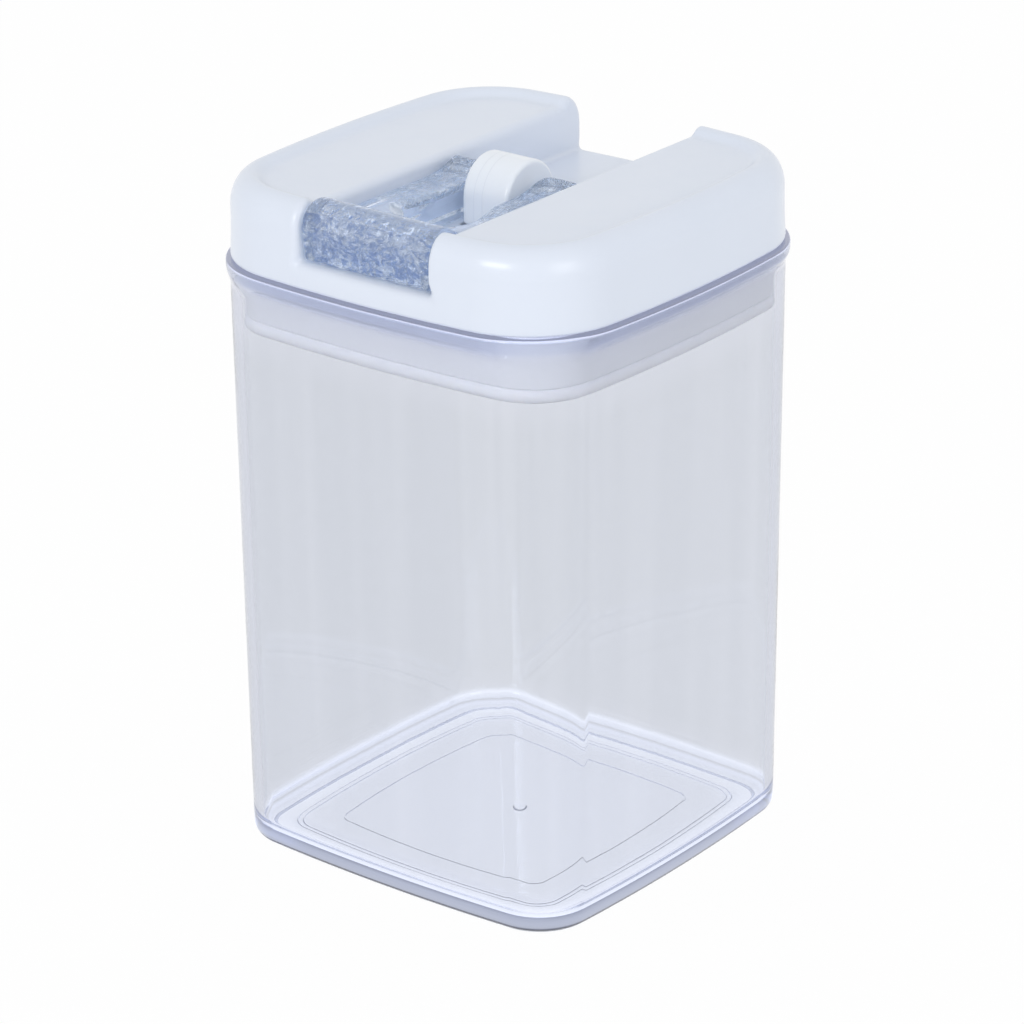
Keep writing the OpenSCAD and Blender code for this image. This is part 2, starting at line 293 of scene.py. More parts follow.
def outline_point_group():
    """Gives an outline's point and outward direction at an index."""
    tree = bpy.data.node_groups.new("outline_point", "GeometryNodeTree")
    new_socket(tree, "Outline", "NodeSocketObject")
    new_socket(tree, "Index", "NodeSocketInt")
    new_socket(tree, "Point", "NodeSocketVector", "OUTPUT")
    new_socket(tree, "Outward", "NodeSocketVector", "OUTPUT")
    asked = add(tree, "NodeGroupInput").outputs
    shape = add(tree, "GeometryNodeObjectInfo", {"Object": asked["Outline"]}).outputs["Geometry"]
    spot = add(tree, "GeometryNodeInputPosition").outputs[0]
    way = add(tree, "GeometryNodeInputNamedAttribute", {"Name": "outward"},
              data_type="FLOAT_VECTOR").outputs["Attribute"]
    given = add(tree, "NodeGroupOutput")
    for name, value in (("Point", spot), ("Outward", way)):
        found = add(tree, "GeometryNodeSampleIndex",
                    {"Geometry": shape, "Value": value, "Index": asked["Index"]},
                    data_type="FLOAT_VECTOR")
        tree.links.new(found.outputs[0], given.inputs[name])
    return tree


# %% [markdown]
# The loft's own tree lays a grid, with one column for each outline point and one row for
# each profile row, and moves each grid point to its place by that rule.

# %% Loft tree


def make_real(tree, shape, finish):
    """Turns copies into plain faces and gives them their finish."""
    real = add(tree, "GeometryNodeRealizeInstances", {0: shape})
    return add(tree, "GeometryNodeSetMaterial", {"Geometry": real.outputs[0],
                                                 "Material": finish}).outputs[0]


def loft_tree():
    outline_point = outline_point_group()
    tree = bpy.data.node_groups.new("bowed_square_loft", "GeometryNodeTree")
    new_socket(tree, "Profile", "NodeSocketGeometry")
    for name in ("Low outline", "High outline", "Rim outline"):
        new_socket(tree, name, "NodeSocketObject")
    new_socket(tree, "Height between outlines", "NodeSocketFloat", value=0.14)
    new_socket(tree, "Finish", "NodeSocketMaterial")
    new_socket(tree, "Solid", "NodeSocketGeometry", "OUTPUT")
    asked = add(tree, "NodeGroupInput").outputs

    def count(shape):
        return add(tree, "GeometryNodeAttributeDomainSize", {0: shape},
                   component="MESH").outputs["Point Count"]

    low_shape = add(tree, "GeometryNodeObjectInfo", {"Object": asked["Low outline"]})
    around = count(low_shape.outputs["Geometry"])
    rows = count(asked["Profile"])
    sheet = add(tree, "GeometryNodeMeshGrid", {
        "Size X": 1.0, "Size Y": 1.0, "Vertices X": maths(tree, "ADD", around, 1.0),
        "Vertices Y": rows}).outputs["Mesh"]
    at = parts_of(tree, add(tree, "GeometryNodeInputPosition").outputs[0])

    def whole_steps(share, steps):
        return maths(tree, "ROUND", times(tree, maths(tree, "ADD", share, 0.5), steps))

    step = maths(tree, "FLOORED_MODULO", whole_steps(at[0], around), around)
    level = whole_steps(at[1], maths(tree, "SUBTRACT", rows, 1.0))

    def on_profile(value, kind):
        return add(tree, "GeometryNodeSampleIndex", {
            "Geometry": asked["Profile"], "Value": value, "Index": level},
            data_type=kind).outputs[0]

    def number(name):
        found = add(tree, "GeometryNodeInputNamedAttribute", {"Name": name}, data_type="FLOAT")
        return on_profile(found.outputs["Attribute"], "FLOAT")

    position = add(tree, "GeometryNodeInputPosition").outputs[0]
    inset, ring, height = parts_of(tree, on_profile(position, "FLOAT_VECTOR"))

    def outline(name):
        found = add(tree, "GeometryNodeGroup", node_tree=outline_point)
        tree.links.new(asked[name], found.inputs["Outline"])
        tree.links.new(step, found.inputs["Index"])
        return found.outputs

    def blend(share, a, b):
        made = add(tree, "ShaderNodeMix", data_type="VECTOR")
        for key, feed in ((0, share), (4, a), (5, b)):
            tree.links.new(feed, made.inputs[key])
        return made.outputs[1]

    low, high, rim = outline("Low outline"), outline("High outline"), outline("Rim outline")
    rise = maths(tree, "DIVIDE", height, asked["Height between outlines"], clamp=True)
    spot = blend(rise, low["Point"], high["Point"])
    way = blend(rise, low["Outward"], high["Outward"])
    on_rim = number("rim")
    spot, way = blend(on_rim, spot, rim["Point"]), blend(on_rim, way, rim["Outward"])
    drawn_in = vectors(tree, "SCALE", vectors(tree, "NORMALIZE", way), inset)
    spot = vectors(tree, "SUBTRACT", spot, drawn_in)
    circle = vectors(tree, "SCALE", vectors(tree, "NORMALIZE", high["Point"]), ring)
    flat = parts_of(tree, blend(number("hub"), spot, circle))
    place = add(tree, "ShaderNodeCombineXYZ", {0: flat[0], 1: flat[1], 2: height}).outputs[0]
    moved = add(tree, "GeometryNodeSetPosition", {"Geometry": sheet, "Position": place})
    joined = add(tree, "GeometryNodeMergeByDistance", {"Geometry": moved.outputs[0],
                                                      "Distance": 1e-6})
    smooth = add(tree, "GeometryNodeSetShadeSmooth", {"Geometry": joined.outputs[0],
                                                     "Shade Smooth": True})
    solid = make_real(tree, smooth.outputs[0], asked["Finish"])
    add(tree, "NodeGroupOutput", {"Solid": solid})
    return tree


LOFT = loft_tree()
print("loft tree has", len(LOFT.nodes), "nodes")

# %% [markdown]
# A modifier's inputs are set by each socket's identifier before anything is evaluated. The
# evaluated result is copied out as a plain mesh, so the finished piece carries no modifier.
# A lofted shell can come out facing either way, so its signed volume decides whether its
# faces are turned.

# %% Running a geometry tree


def numbers_of(items, field, each=1, kind=float):
    """One field of every item, read in a single call, as rows of numbers."""
    found = np.zeros(len(items) * each, kind)
    items.foreach_get(field, found)
    return found.reshape(-1, each)


def signed_volume(mesh):
    mesh.calc_loop_triangles()
    spots = numbers_of(mesh.vertices, "co", 3)
    a, b, c = spots[numbers_of(mesh.loop_triangles, "vertices", 3, int).T]
    return float(np.einsum("ij,ij->i", a, np.cross(b, c)).sum() / 6)


def loose_edges(mesh):
    """How many edges don't have exactly two faces, which is 0 on a closed solid."""
    uses = numbers_of(mesh.loops, "edge_index", kind=int)[:, 0]
    return int((np.bincount(uses, minlength=len(mesh.edges)) != 2).sum())


def measured(piece):
    mesh = piece.data
    print(f"{piece.name}: {len(mesh.polygons)} faces, {signed_volume(mesh) * 1e6:.2f} cm3, "
          f"{loose_edges(mesh)} open edges")
    return piece


def evaluated_mesh(thing):
    """An object's mesh with its modifiers applied."""
    graph = bpy.context.evaluated_depsgraph_get()
    graph.update()
    return bpy.data.meshes.new_from_object(thing.evaluated_get(graph), depsgraph=graph)


def run_tree(name, tree, start_mesh, values):
    carrier = link_object(name + "_start", start_mesh)
    modifier = carrier.modifiers.new("build", "NODES")
    modifier.node_group = tree
    for item in tree.interface.items_tree:
        if item.in_out == "INPUT" and item.name in values:
            modifier[item.identifier] = values[item.name]
    mesh = evaluated_mesh(carrier)
    mesh.name = name
    bpy.data.objects.remove(carrier)
    if signed_volume(mesh) < 0:
        mesh.flip_normals()
    return measured(link_object(name, mesh))


# %% [markdown]
# Moulded plastic has no sharp corners. Each profile is written as its corner points, and
# this helper rounds every corner by its own radius and adds a row just before and after
# each rounding. Those extra rows keep the shading of the long flat walls perfectly even,
# which matters most in clear plastic.

# %% Rounding a profile


def mid_side(row, outlines):
    """Where a row stands at the middle of a side, to measure lengths with."""
    inset, ring, z, rim, hub = row
    low, high, wide, tall = outlines
    rise = min(max(z / tall, 0), 1)
    reach = (low + (high - low) * rise) * (1 - rim) + wide * rim - inset
    return np.array([reach * (1 - hub) + ring * hub, z])


ROUNDING_STEPS = 6
SMALLEST_CUT, LARGEST_SHARE = 0.02, 0.46


def soften(rows, radii, outlines, closed):
    """Rounds each corner of a profile, and guards the flats beside it with extra rows."""
    rows = [np.array(r, float) for r in rows]
    made, n = [], len(rows)
    for k, row in enumerate(rows):
        before, after = rows[k - 1], rows[(k + 1) % n]
        if not closed and k in (0, n - 1):
            made.append(row)
            continue
        spans = [np.linalg.norm(mid_side(o, outlines) - mid_side(row, outlines))
                 for o in (before, after)]
        cut = min(radii[k], *(LARGEST_SHARE * span for span in spans))
        if cut < SMALLEST_CUT:
            made.append(row)
            continue
        start = row + (before - row) * cut / spans[0]
        end = row + (after - row) * cut / spans[1]
        guard = 0.3 * min(1, cut)
        if spans[0] > 2 * cut + 1:
            made.append(row + (before - row) * (cut + guard) / spans[0])
        for t in np.linspace(0, 1, ROUNDING_STEPS):
            made.append((1 - t) ** 2 * start + 2 * t * (1 - t) * row + t * t * end)
        if spans[1] > 2 * cut + 1:
            made.append(row + (after - row) * (cut + guard) / spans[1])
    return made + [made[0]] if closed else made


# %% [markdown]
# A loft needs the rounded profile as a mesh, with its rim and hub numbers on the points, and
# the three outlines as objects that it can look up. The outlines go once the piece is made.

# %% Lofting a profile


def profile_mesh(name, rows):
    mesh = bpy.data.meshes.new(name + "_profile")
    mesh.from_pydata([(r[0] * MM, r[1] * MM, r[2] * MM) for r in rows],
                     [(k, k + 1) for k in range(len(rows) - 1)], [])
    for column, label in ((3, "rim"), (4, "hub")):
        mesh.attributes.new(label, "FLOAT", "POINT").data.foreach_set(
            "value", [float(r[column]) for r in rows])
    return mesh


def outline_object(name, half, corner):
    points, outward = plan_outline(half, corner)
    mesh = bpy.data.meshes.new(name)
    mesh.from_pydata([(x * MM, y * MM, 0) for x, y in points],
                     [(k, (k + 1) % len(points)) for k in range(len(points))], [])
    mesh.attributes.new("outward", "FLOAT_VECTOR", "POINT").data.foreach_set(
        "vector", np.pad(outward, ((0, 0), (0, 1))).ravel())
    return link_object(name, mesh)


def loft(name, corners, low, high, wide, tall=1000.0, closed=False):
    """Carries a profile round the plan. Each corner ends with its own rounding."""
    rows, radii = [c[:5] for c in corners], [c[5] for c in corners]
    outlines = (low[0] + SIDE_BOW, high[0] + SIDE_BOW, wide[0] + SIDE_BOW, tall)
    guides = [outline_object(f"{name}_outline_{k}", *o) for k, o in enumerate((low, high, wide))]
    rows = soften(rows, radii, outlines, closed)
    piece = run_tree(name, LOFT, profile_mesh(name, rows), {
        "Low outline": guides[0], "High outline": guides[1], "Rim outline": guides[2],
        "Height between outlines": tall * MM})
    for guide in guides:
        bpy.data.objects.remove(guide)
    return piece


# %% [markdown]
# The container is one clear injection moulding. Its walls lean in by under two millimetres
# from rim to foot, its corners tighten towards the foot, and a flange runs round the rim.
# The floor stands on a narrow ring. Underneath there are two shallow framed steps and a
# round gate mark where the plastic was let in. The profile runs from the middle of the
# underside, up the outside, over the rim and down to the middle of the floor.

# %% Container
TOP = (48.4, 15.6)
FOOT = (46.6, 12.4)
FLANGE = (51.1, 22.1)
RIM_Z = 139.7
WALL = 2.2
FLOOR_Z, FLOOR_MIDDLE_Z = 3.2, 3.55
UNDERSIDE_Z = 0.8
FOOT_ROUND = 3.0
HALF_WAY_Z = 70
GROOVES = (  # inset, circle radius, half width, height, hub, rounding
    (11.0, 14.0, 1.0, 0.70, 0.3, 0.15),
    (8.4, 20.0, 2.0, 0.72, 0.12, 0.12),
    (8.4, 30.0, 2.0, 0.72, 0.12, 0.12))
FLANGE_FROM, FLANGE_FULL = 134.7, 137.5


def foot_round(inset, z):
    """The rounding from a floor out to a wall, outside or in."""
    return [(inset + FOOT_ROUND * (1 - math.sin(t)), 0, z + FOOT_ROUND * (1 - math.cos(t)),
             0, 0, 0) for t in np.radians(np.linspace(0, 90, 9))]


def container_profile():
    corners = [  # inset, circle radius, height, rim, hub, rounding
        (0, 0, 0.45, 0, 1, 0), (0, 1.7, 0.45, 0, 1, 0.2), (0, 2.1, UNDERSIDE_Z, 0, 1, 0.2)]
    for inset, ring, half, height, hub, soft in GROOVES:
        corners += [(inset, ring - half, UNDERSIDE_Z, 0, hub, soft),
                    (inset, ring, height, 0, hub, soft),
                    (inset, ring + half, UNDERSIDE_Z, 0, hub, soft)]
    corners += [(5.9, 32.0, UNDERSIDE_Z, 0, 0, 0.4), (5.3, 0, 0, 0, 0, 0.4)]
    corners += foot_round(0, 0)
    corners += [(0, 0, 4, 0, 0, 0), (0, 0, HALF_WAY_Z, 0, 0, 0), (0, 0, FLANGE_FROM, 0, 0, 1.2),
                (0, 0, FLANGE_FULL, 1, 0, 0.8), (0, 0, RIM_Z, 1, 0, 0.8),
                (WALL, 0, RIM_Z, 0, 0, 0.6), (WALL, 0, HALF_WAY_Z, 0, 0, 0),
                (WALL, 0, 7.2, 0, 0, 0)]
    corners += foot_round(WALL, FLOOR_Z)[::-1]
    corners += [(6.0, 0, FLOOR_Z, 0, 0, 0), (8.2, 0, FLOOR_Z, 0, 0, 1.0),
                (11.6, 0, FLOOR_MIDDLE_Z, 0, 0, 1.0), (0, 0, FLOOR_MIDDLE_Z, 0, 1, 0)]
    return corners


container = loft("container", container_profile(), FOOT, TOP, FLANGE, tall=RIM_Z)

# %% [markdown]
# The plug lid closes the container from inside. Its base is a plate that shuts the hollow
# cover, with a skirt hanging from it, a ledge that the gasket hangs under, and a tube that
# guides the stem. All of it follows the same rule, so it is one closed profile that starts
# and ends at the guide's bore.

# %% Lid base
SKIRT = (45.1, 12.6)
LID = (LID_HALF, LID_CORNER)
BASE_UNDER, BASE_TOP = 140.2, 142.6
LEDGE_Z, GASKET_Z = 127.7, 124.7
LEDGE_IN, LEDGE_LIP_Z = 5.7, 126.2
SKIRT_THICK, SKIRT_IN, SKIRT_CEILING = 2.2, 7.9, 129.9
GUIDE_R, GUIDE_OUT_R, GUIDE_FOOT = 5.06, 7.2, 129.0


def base_profile():
    return [
        (0, GUIDE_R, BASE_TOP, 0, 1, 0.2), (2.33, 0, BASE_TOP, 1, 0, 0.4),
        (2.33, 0, BASE_UNDER, 1, 0, 0.3), (0, 0, BASE_UNDER, 0, 0, 0.5),
        (0, 0, LEDGE_Z, 0, 0, 0.4), (LEDGE_IN, 0, LEDGE_Z, 0, 0, 0.2),
        (LEDGE_IN, 0, LEDGE_LIP_Z, 0, 0, 0.4), (SKIRT_IN, 0, LEDGE_LIP_Z, 0, 0, 0.4),
        (SKIRT_IN, 0, SKIRT_CEILING, 0, 0, 0.5), (SKIRT_THICK, 0, SKIRT_CEILING, 0, 0, 0.5),
        (SKIRT_THICK, 0, BASE_UNDER, 0, 0, 0.6), (0, GUIDE_OUT_R, BASE_UNDER, 0, 1, 0.6),
        (0, GUIDE_OUT_R, GUIDE_FOOT, 0, 1, 0.4), (0, GUIDE_R, GUIDE_FOOT, 0, 1, 0.3)]


lid_base = loft("lid_base_smooth", base_profile(), SKIRT, SKIRT, LID, closed=True)

# %% [markdown]
# The gasket is a flat milky ring with a round bead for its outer edge. The pressure plate's
# thin rim squeezes its inner half against the ledge, and the bead bulges to the wall. The
# bead is drawn as an arc, not as a rounded corner, because it is the part that shows.

# %% Gasket
GASKET_CLEAR = 0.02


def gasket_profile():
    bead = np.radians(np.linspace(-90, 90, 15))
    middle, tall = (LEDGE_Z + GASKET_Z) / 2, (LEDGE_Z - GASKET_Z) / 2 - GASKET_CLEAR
    return [(0.35 - 0.9 * math.cos(t), 0, middle + tall * math.sin(t), 0, 0, 0)
            for t in bead] + [(5.55, 0, LEDGE_Z - GASKET_CLEAR, 0, 0, 0.4),
                              (5.55, 0, GASKET_Z + GASKET_CLEAR, 0, 0, 0.4)]


gasket = loft("gasket_bead", gasket_profile(), SKIRT, SKIRT, LID, closed=True)

# %% [markdown]
# The pressure plate hangs from the stem and pulls up on the gasket. It is a flat plate
# with a thin rim, a boss for the stem, a recess for the screw head, and a low ring of
# stiffening rib. The rim stands well in, so from outside only the gasket shows.

# %% Pressure plate
PLATE_UNDER, PLATE_TOP, PLATE_RIM = 121.3, 124.3, 123.1
PLATE_INSET = 4.0
HOLE_R, RECESS_R = 1.7, 3.8
BOSS_R, BOSS_TOP = 6.4, 127.3
RIB_OUT, RIB_IN, RIB_TOP = 8.7, 10.7, 126.0


def plate_profile():
    return [
        (0, HOLE_R, BOSS_TOP, 0, 1, 0.2), (0, BOSS_R, BOSS_TOP, 0, 1, 0.4),
        (0, BOSS_R, PLATE_TOP, 0, 1, 0.5), (RIB_IN, 0, PLATE_TOP, 0, 0, 0.5),
        (RIB_IN, 0, RIB_TOP, 0, 0, 0.4), (RIB_OUT, 0, RIB_TOP, 0, 0, 0.4),
        (RIB_OUT, 0, PLATE_TOP, 0, 0, 0.5), (PLATE_INSET, 0, PLATE_TOP, 0, 0, 0.4),
        (PLATE_INSET, 0, PLATE_RIM, 0, 0, 0.5), (RIB_OUT, 0, PLATE_RIM, 0, 0, 0.4),
        (RIB_OUT, 0, PLATE_UNDER, 0, 0, 0.8), (0, RECESS_R, PLATE_UNDER, 0, 1, 0.3),
        (0, RECESS_R, PLATE_TOP, 0, 1, 0.2), (0, HOLE_R, PLATE_TOP, 0, 1, 0.15)]


plate = loft("plate_body", plate_profile(), SKIRT, SKIRT, LID, closed=True)

# %% [markdown]
# Ribs and screws repeat, so one is made and Geometry Nodes put the rest in place: a ring of
# points round the lid's middle, one copy on each, turned to face outwards, then made real
# so that each body keeps one plain mesh. The tree is built here, and used once there is a
# screw and a rib to copy.

# %% Ring of copies


def ring_tree():
    tree = bpy.data.node_groups.new("ring_of_copies", "GeometryNodeTree")
    new_socket(tree, "One", "NodeSocketGeometry")
    new_socket(tree, "Count", "NodeSocketInt", value=4)
    new_socket(tree, "Reach", "NodeSocketFloat", value=0.04)
    new_socket(tree, "First turn", "NodeSocketFloat", value=0.0)
    new_socket(tree, "Finish", "NodeSocketMaterial")
    new_socket(tree, "Copies", "NodeSocketGeometry", "OUTPUT")
    asked = add(tree, "NodeGroupInput").outputs
    ring = add(tree, "GeometryNodeMeshCircle", {"Vertices": asked["Count"],
                                                "Radius": asked["Reach"]}, fill_type="NONE")
    step = add(tree, "GeometryNodeInputIndex").outputs[0]
    share = maths(tree, "DIVIDE", times(tree, step, math.tau), asked["Count"])
    turned = add(tree, "ShaderNodeCombineXYZ",
                 {2: maths(tree, "ADD", share, asked["First turn"])}).outputs[0]
    spun = add(tree, "GeometryNodeTransform", {
        "Geometry": ring.outputs[0],
        "Rotation": add(tree, "ShaderNodeCombineXYZ", {2: asked["First turn"]}).outputs[0]})
    laid = add(tree, "GeometryNodeInstanceOnPoints", {
        "Points": spun.outputs[0], "Instance": asked["One"], "Rotation": turned})
    copies = make_real(tree, laid.outputs[0], asked["Finish"])
    add(tree, "NodeGroupOutput", {"Copies": copies})
    return tree


RING = ring_tree()
print("ring tree has", len(RING.nodes), "nodes")

# %% [markdown]
# A small turned shape, such as a screw, a pin or a washer, is a profile spun round an axis.
# The spin leaves doubled points where the profile touches the axis, so they are merged and
# the normals recalculated before anything else happens to the mesh.

# %% Turned shapes
TURN_STEPS = 40


def solid_mesh(name, spots, faces, smooth):
    """A closed mesh from points in millimetres, merged, with its faces turned outwards."""
    mesh = bpy.data.meshes.new(name)
    mesh.from_pydata([(x * MM, y * MM, z * MM) for x, y, z in spots], [], faces)
    form = bmesh.new()
    form.from_mesh(mesh)
    bmesh.ops.remove_doubles(form, verts=form.verts, dist=1e-7)
    bmesh.ops.recalc_face_normals(form, faces=form.faces)
    for face in form.faces:
        face.smooth = smooth
    form.to_mesh(mesh)
    form.free()
    return mesh


def turned_mesh(name, profile, ring=False):
    """Spins (radius, height) points round Z. Closed where the radius is 0, or as a ring."""
    rings, steps = len(profile), TURN_STEPS
    turn = np.linspace(0, math.tau, steps, endpoint=False)
    spots = [(r * math.cos(t), r * math.sin(t), z) for r, z in profile for t in turn]
    faces = [(k * steps + i, k * steps + (i + 1) % steps,
              (k + 1) % rings * steps + (i + 1) % steps, (k + 1) % rings * steps + i)
             for k in range(rings - (not ring)) for i in range(steps)]
    return solid_mesh(name, spots, faces, smooth=True)


# %% [markdown]
# A screw is a turned shape too. Its thread is drawn as plain rings, because nobody can tell
# them from a spiral at this size. A boolean cuts the driver's cross into its head.

# %% Screws
THREAD_PITCH, THREAD_DEPTH = 0.9, 0.22


def cut_cross(mesh, low, reach, wide, deep):
    """Cuts a driver's cross up into a head that faces down at height low."""
    body = link_object("head", mesh)
    form = bmesh.new()
    for turn in (0, math.pi / 2):
        bar = bmesh.ops.create_cube(form, size=1)["verts"]
        bmesh.ops.scale(form, vec=(2 * reach * MM, wide * MM, 2 * deep * MM), verts=bar)
        bmesh.ops.rotate(form, matrix=Matrix.Rotation(turn, 3, "Z"), verts=bar)
        bmesh.ops.translate(form, vec=(0, 0, low * MM), verts=bar)
    tool_mesh = bpy.data.meshes.new("cross_tool")
    form.to_mesh(tool_mesh)
    form.free()
    tool = link_object("cross_tool", tool_mesh)
    cut = body.modifiers.new("cross", "BOOLEAN")
    cut.operation, cut.solver, cut.object, cut.use_self = "DIFFERENCE", "EXACT", tool, True
    done = evaluated_mesh(body)
    for used in (body, tool):
        bpy.data.objects.remove(used)
    return done


def screw_mesh(name, low, head, thick, shank, tall):
    """A pan-head screw that points up, its head's face at height low."""
    profile = [(0, low), (head * 0.45, low), (head * 0.75, low + 0.08 * thick),
               (head * 0.93, low + 0.28 * thick), (head, low + 0.6 * thick),
               (head, low + 0.93 * thick), (head - 0.1, low + thick), (shank + 0.15, low + thick),
               (shank, low + thick + 0.15)]
    at = low + thick + 0.8
    while at < low + tall - 1.4:
        profile += [(shank, at), (shank, at + 0.1 * THREAD_PITCH),
                    (shank - THREAD_DEPTH, at + 0.45 * THREAD_PITCH),
                    (shank - THREAD_DEPTH, at + 0.7 * THREAD_PITCH)]
        at += THREAD_PITCH
    profile += [(shank - 0.3, low + tall - 0.6), (0, low + tall)]
    return cut_cross(turned_mesh(name, profile), low, head * 0.6, head * 0.26, thick * 0.55)


# %% [markdown]
# Four screws pull the base up into the cover, one near each corner, and four ribs run out
# from the boss to stiffen the pressure plate. A rib is a six-sided bar with its top edges
# taken off, which is all that shows of one through the plastic.

# %% Cover screws and plate ribs
SCREW_AT = 31.0


def rib_mesh():
    """One low rib with a rounded top, from the boss out to the plate's ring."""
    inner, outer, half, low, soft = 5.9, 35.0, 1.0, PLATE_TOP - 0.6, 0.4
    section = [(-half, low), (-half, RIB_TOP - soft), (-half + soft, RIB_TOP),
               (half - soft, RIB_TOP), (half, RIB_TOP - soft), (half, low)]
    spots = [(x, y, z) for x in (inner, outer) for y, z in section]
    n = len(section)
    faces = [(k, (k + 1) % n, n + (k + 1) % n, n + k) for k in range(n)]
    faces += [tuple(range(n))[::-1], tuple(range(n, 2 * n))]
    return solid_mesh("rib", spots, faces, smooth=False)


one_screw = screw_mesh("screw", low=138.6, head=2.6, thick=1.6, shank=1.2, tall=13.0)
screws = run_tree("cover_screw_set", RING, one_screw, {
    "Count": 4, "Reach": SCREW_AT * math.sqrt(2) * MM, "First turn": math.pi / 4})
ribs = run_tree("plate_ribs", RING, rib_mesh(), {"Count": 4, "Reach": 0.0, "First turn": 0.0})

# %% [markdown]
# The cover, the lever and the stem's head are not a carried profile. Each is a few simple
# solids melted together and cut away, with a soft edge at every meeting, as a mould gives.
# They could be booleans with bevels, but bevels break where a channel crosses a curved
# crown. Here each piece is a rule instead: a function that is below zero inside the plastic
# and above zero outside. A grid is laid through it, a skin is drawn where the rule changes
# sign, and every point is then pushed exactly onto the surface. The rule's own slope gives
# the normals, so even small roundings shade cleanly.

# %% Joining rules softly


def soft_max(a, b, blend):
    """The larger of the two, with a rounding about as wide as blend where they meet."""
    return np.maximum(a, b) + np.maximum(blend - np.abs(a - b), 0) ** 2 / (4 * blend)


def soft_min(a, b, blend):
    return -soft_max(-a, -b, blend)


# %% [markdown]
# The skin has one point in each cell of the grid that the surface passes through, and one
# face across each grid line that it crosses. The point starts at the mean of the places
# where the cell's own edges are crossed.

# %% Points and faces of a skin
CELL_CORNERS = [(i, j, k) for i in (0, 1) for j in (0, 1) for k in (0, 1)]


def at_corner(grid, corner):
    """The grid's values at one corner of every cell."""
    return grid[tuple(slice(s, s + n - 1) for s, n in zip(corner, grid.shape))]


def cell_points(field):
    """Which cells the surface passes through, and where in the grid their points are."""
    total = sum(at_corner(field < 0, c).astype(np.int8) for c in CELL_CORNERS)
    active = (total > 0) & (total < len(CELL_CORNERS))
    spots, crossings = np.zeros((active.sum(), 3)), np.zeros(active.sum())
    for a in CELL_CORNERS:
        for axis in range(3):
            if a[axis]:
                continue
            b = tuple(v + (i == axis) for i, v in enumerate(a))
            fa, fb = at_corner(field, a)[active], at_corner(field, b)[active]
            cross = (fa < 0) != (fb < 0)
            share = np.where(cross, fa / np.where(cross, fa - fb, 1), 0)
            step = np.array(a, float) + share[:, None] * (np.array(b) - np.array(a))
            spots += np.where(cross[:, None], step, 0)
            crossings += cross
    return active, np.argwhere(active) + spots / crossings[:, None]


def cell_faces(inside, active):
    ids = np.full(active.shape, -1)
    ids[active] = np.arange(active.sum())
    counts, faces = inside.shape, []
    for axis in range(3):
        u, v = [i for i in range(3) if i != axis]
        here, there = [slice(None)] * 3, [slice(None)] * 3
        here[axis], there[axis] = slice(None, -1), slice(1, None)
        at = np.argwhere(inside[tuple(here)] != inside[tuple(there)])
        at = at[(at[:, u] > 0) & (at[:, v] > 0) & (at[:, u] < counts[u] - 1)
                & (at[:, v] < counts[v] - 1)]
        quad = []
        for du, dv in ((1, 1), (0, 1), (0, 0), (1, 0)):
            cell_at = at.copy()
            cell_at[:, u] -= du
            cell_at[:, v] -= dv
            quad.append(ids[tuple(cell_at.T)])
        quad = np.stack(quad, 1)
        flip = inside[tuple(at.T)] != (axis == 1)
        quad[~flip] = quad[~flip][:, ::-1]
        faces.append(quad)
    return np.concatenate(faces)


# %% [markdown]
# Newton's method moves each point onto the surface along the rule's slope, in five rounds.
# Each step is held to about half a cell, so a rough spot in a rule can't throw a point far.

# %% Skin of a rule
SLOPE_STEP = 0.02
SETTLING_ROUNDS = 5
LEAST_SLOPE = 0.05


def slope(rule, spots):
    made = np.empty_like(spots)
    for axis in range(3):
        nudge = np.zeros(3)
        nudge[axis] = SLOPE_STEP
        more, less = spots + nudge, spots - nudge
        made[:, axis] = (rule(*more.T) - rule(*less.T)) / (2 * SLOPE_STEP)
    return made


def skin(name, rule, low, high, cell):
    counts = [int(math.ceil((b - a) / cell)) + 1 for a, b in zip(low, high)]
    axes = [a + cell * np.arange(n) for a, n in zip(low, counts)]
    field = np.broadcast_to(rule(axes[0][:, None, None], axes[1][None, :, None],
                                 axes[2][None, None, :]), counts).astype(np.float32)
    active, spots = cell_points(field)
    spots = np.array(low) + cell * spots
    for _ in range(SETTLING_ROUNDS):
        tilt = slope(rule, spots)
        push = rule(*spots.T) / np.maximum((tilt ** 2).sum(1), LEAST_SLOPE)
        spots -= np.clip(push, -cell / 2, cell / 2)[:, None] * tilt
    normals = slope(rule, spots)
    normals /= np.linalg.norm(normals, axis=1)[:, None]
    mesh = bpy.data.meshes.new(name)
    mesh.from_pydata((spots * MM).tolist(), [], cell_faces(field < 0, active).tolist())
    mesh.shade_smooth()
    mesh.normals_split_custom_set_from_vertices(normals.tolist())
    return measured(link_object(name, mesh))


# %% [markdown]
# The cover is a white moulded cap. Its side leans in a little, its crown is an elliptical
# rounding, and its top holds a shallow dish, where the foot of another canister sits. A
# channel crosses it from front to back for the lever. Behind the window in the channel's
# floor is the stem. One channel edge came out of the mould softer than the other.

# %% Cover
CROWN_Z, DISH_Z, CHANNEL_Z = 158.8, 157.2, 145.7
COVER_FOOT = 140.0
CHANNEL_HALF = 18.0
CROWN_RUN, CROWN_RISE = 5.0, 7.0
SIDE_LEAN = 0.4
BANK_AT, BANK_IN, BANK_UP, BANK_SLOPE = 7.3, 1.6, 1.4, 2.126
WINDOW_X, WINDOW_Y = 6.8, 9.3
COVER_WALL = 2.2
PIVOT_Z = 151.5


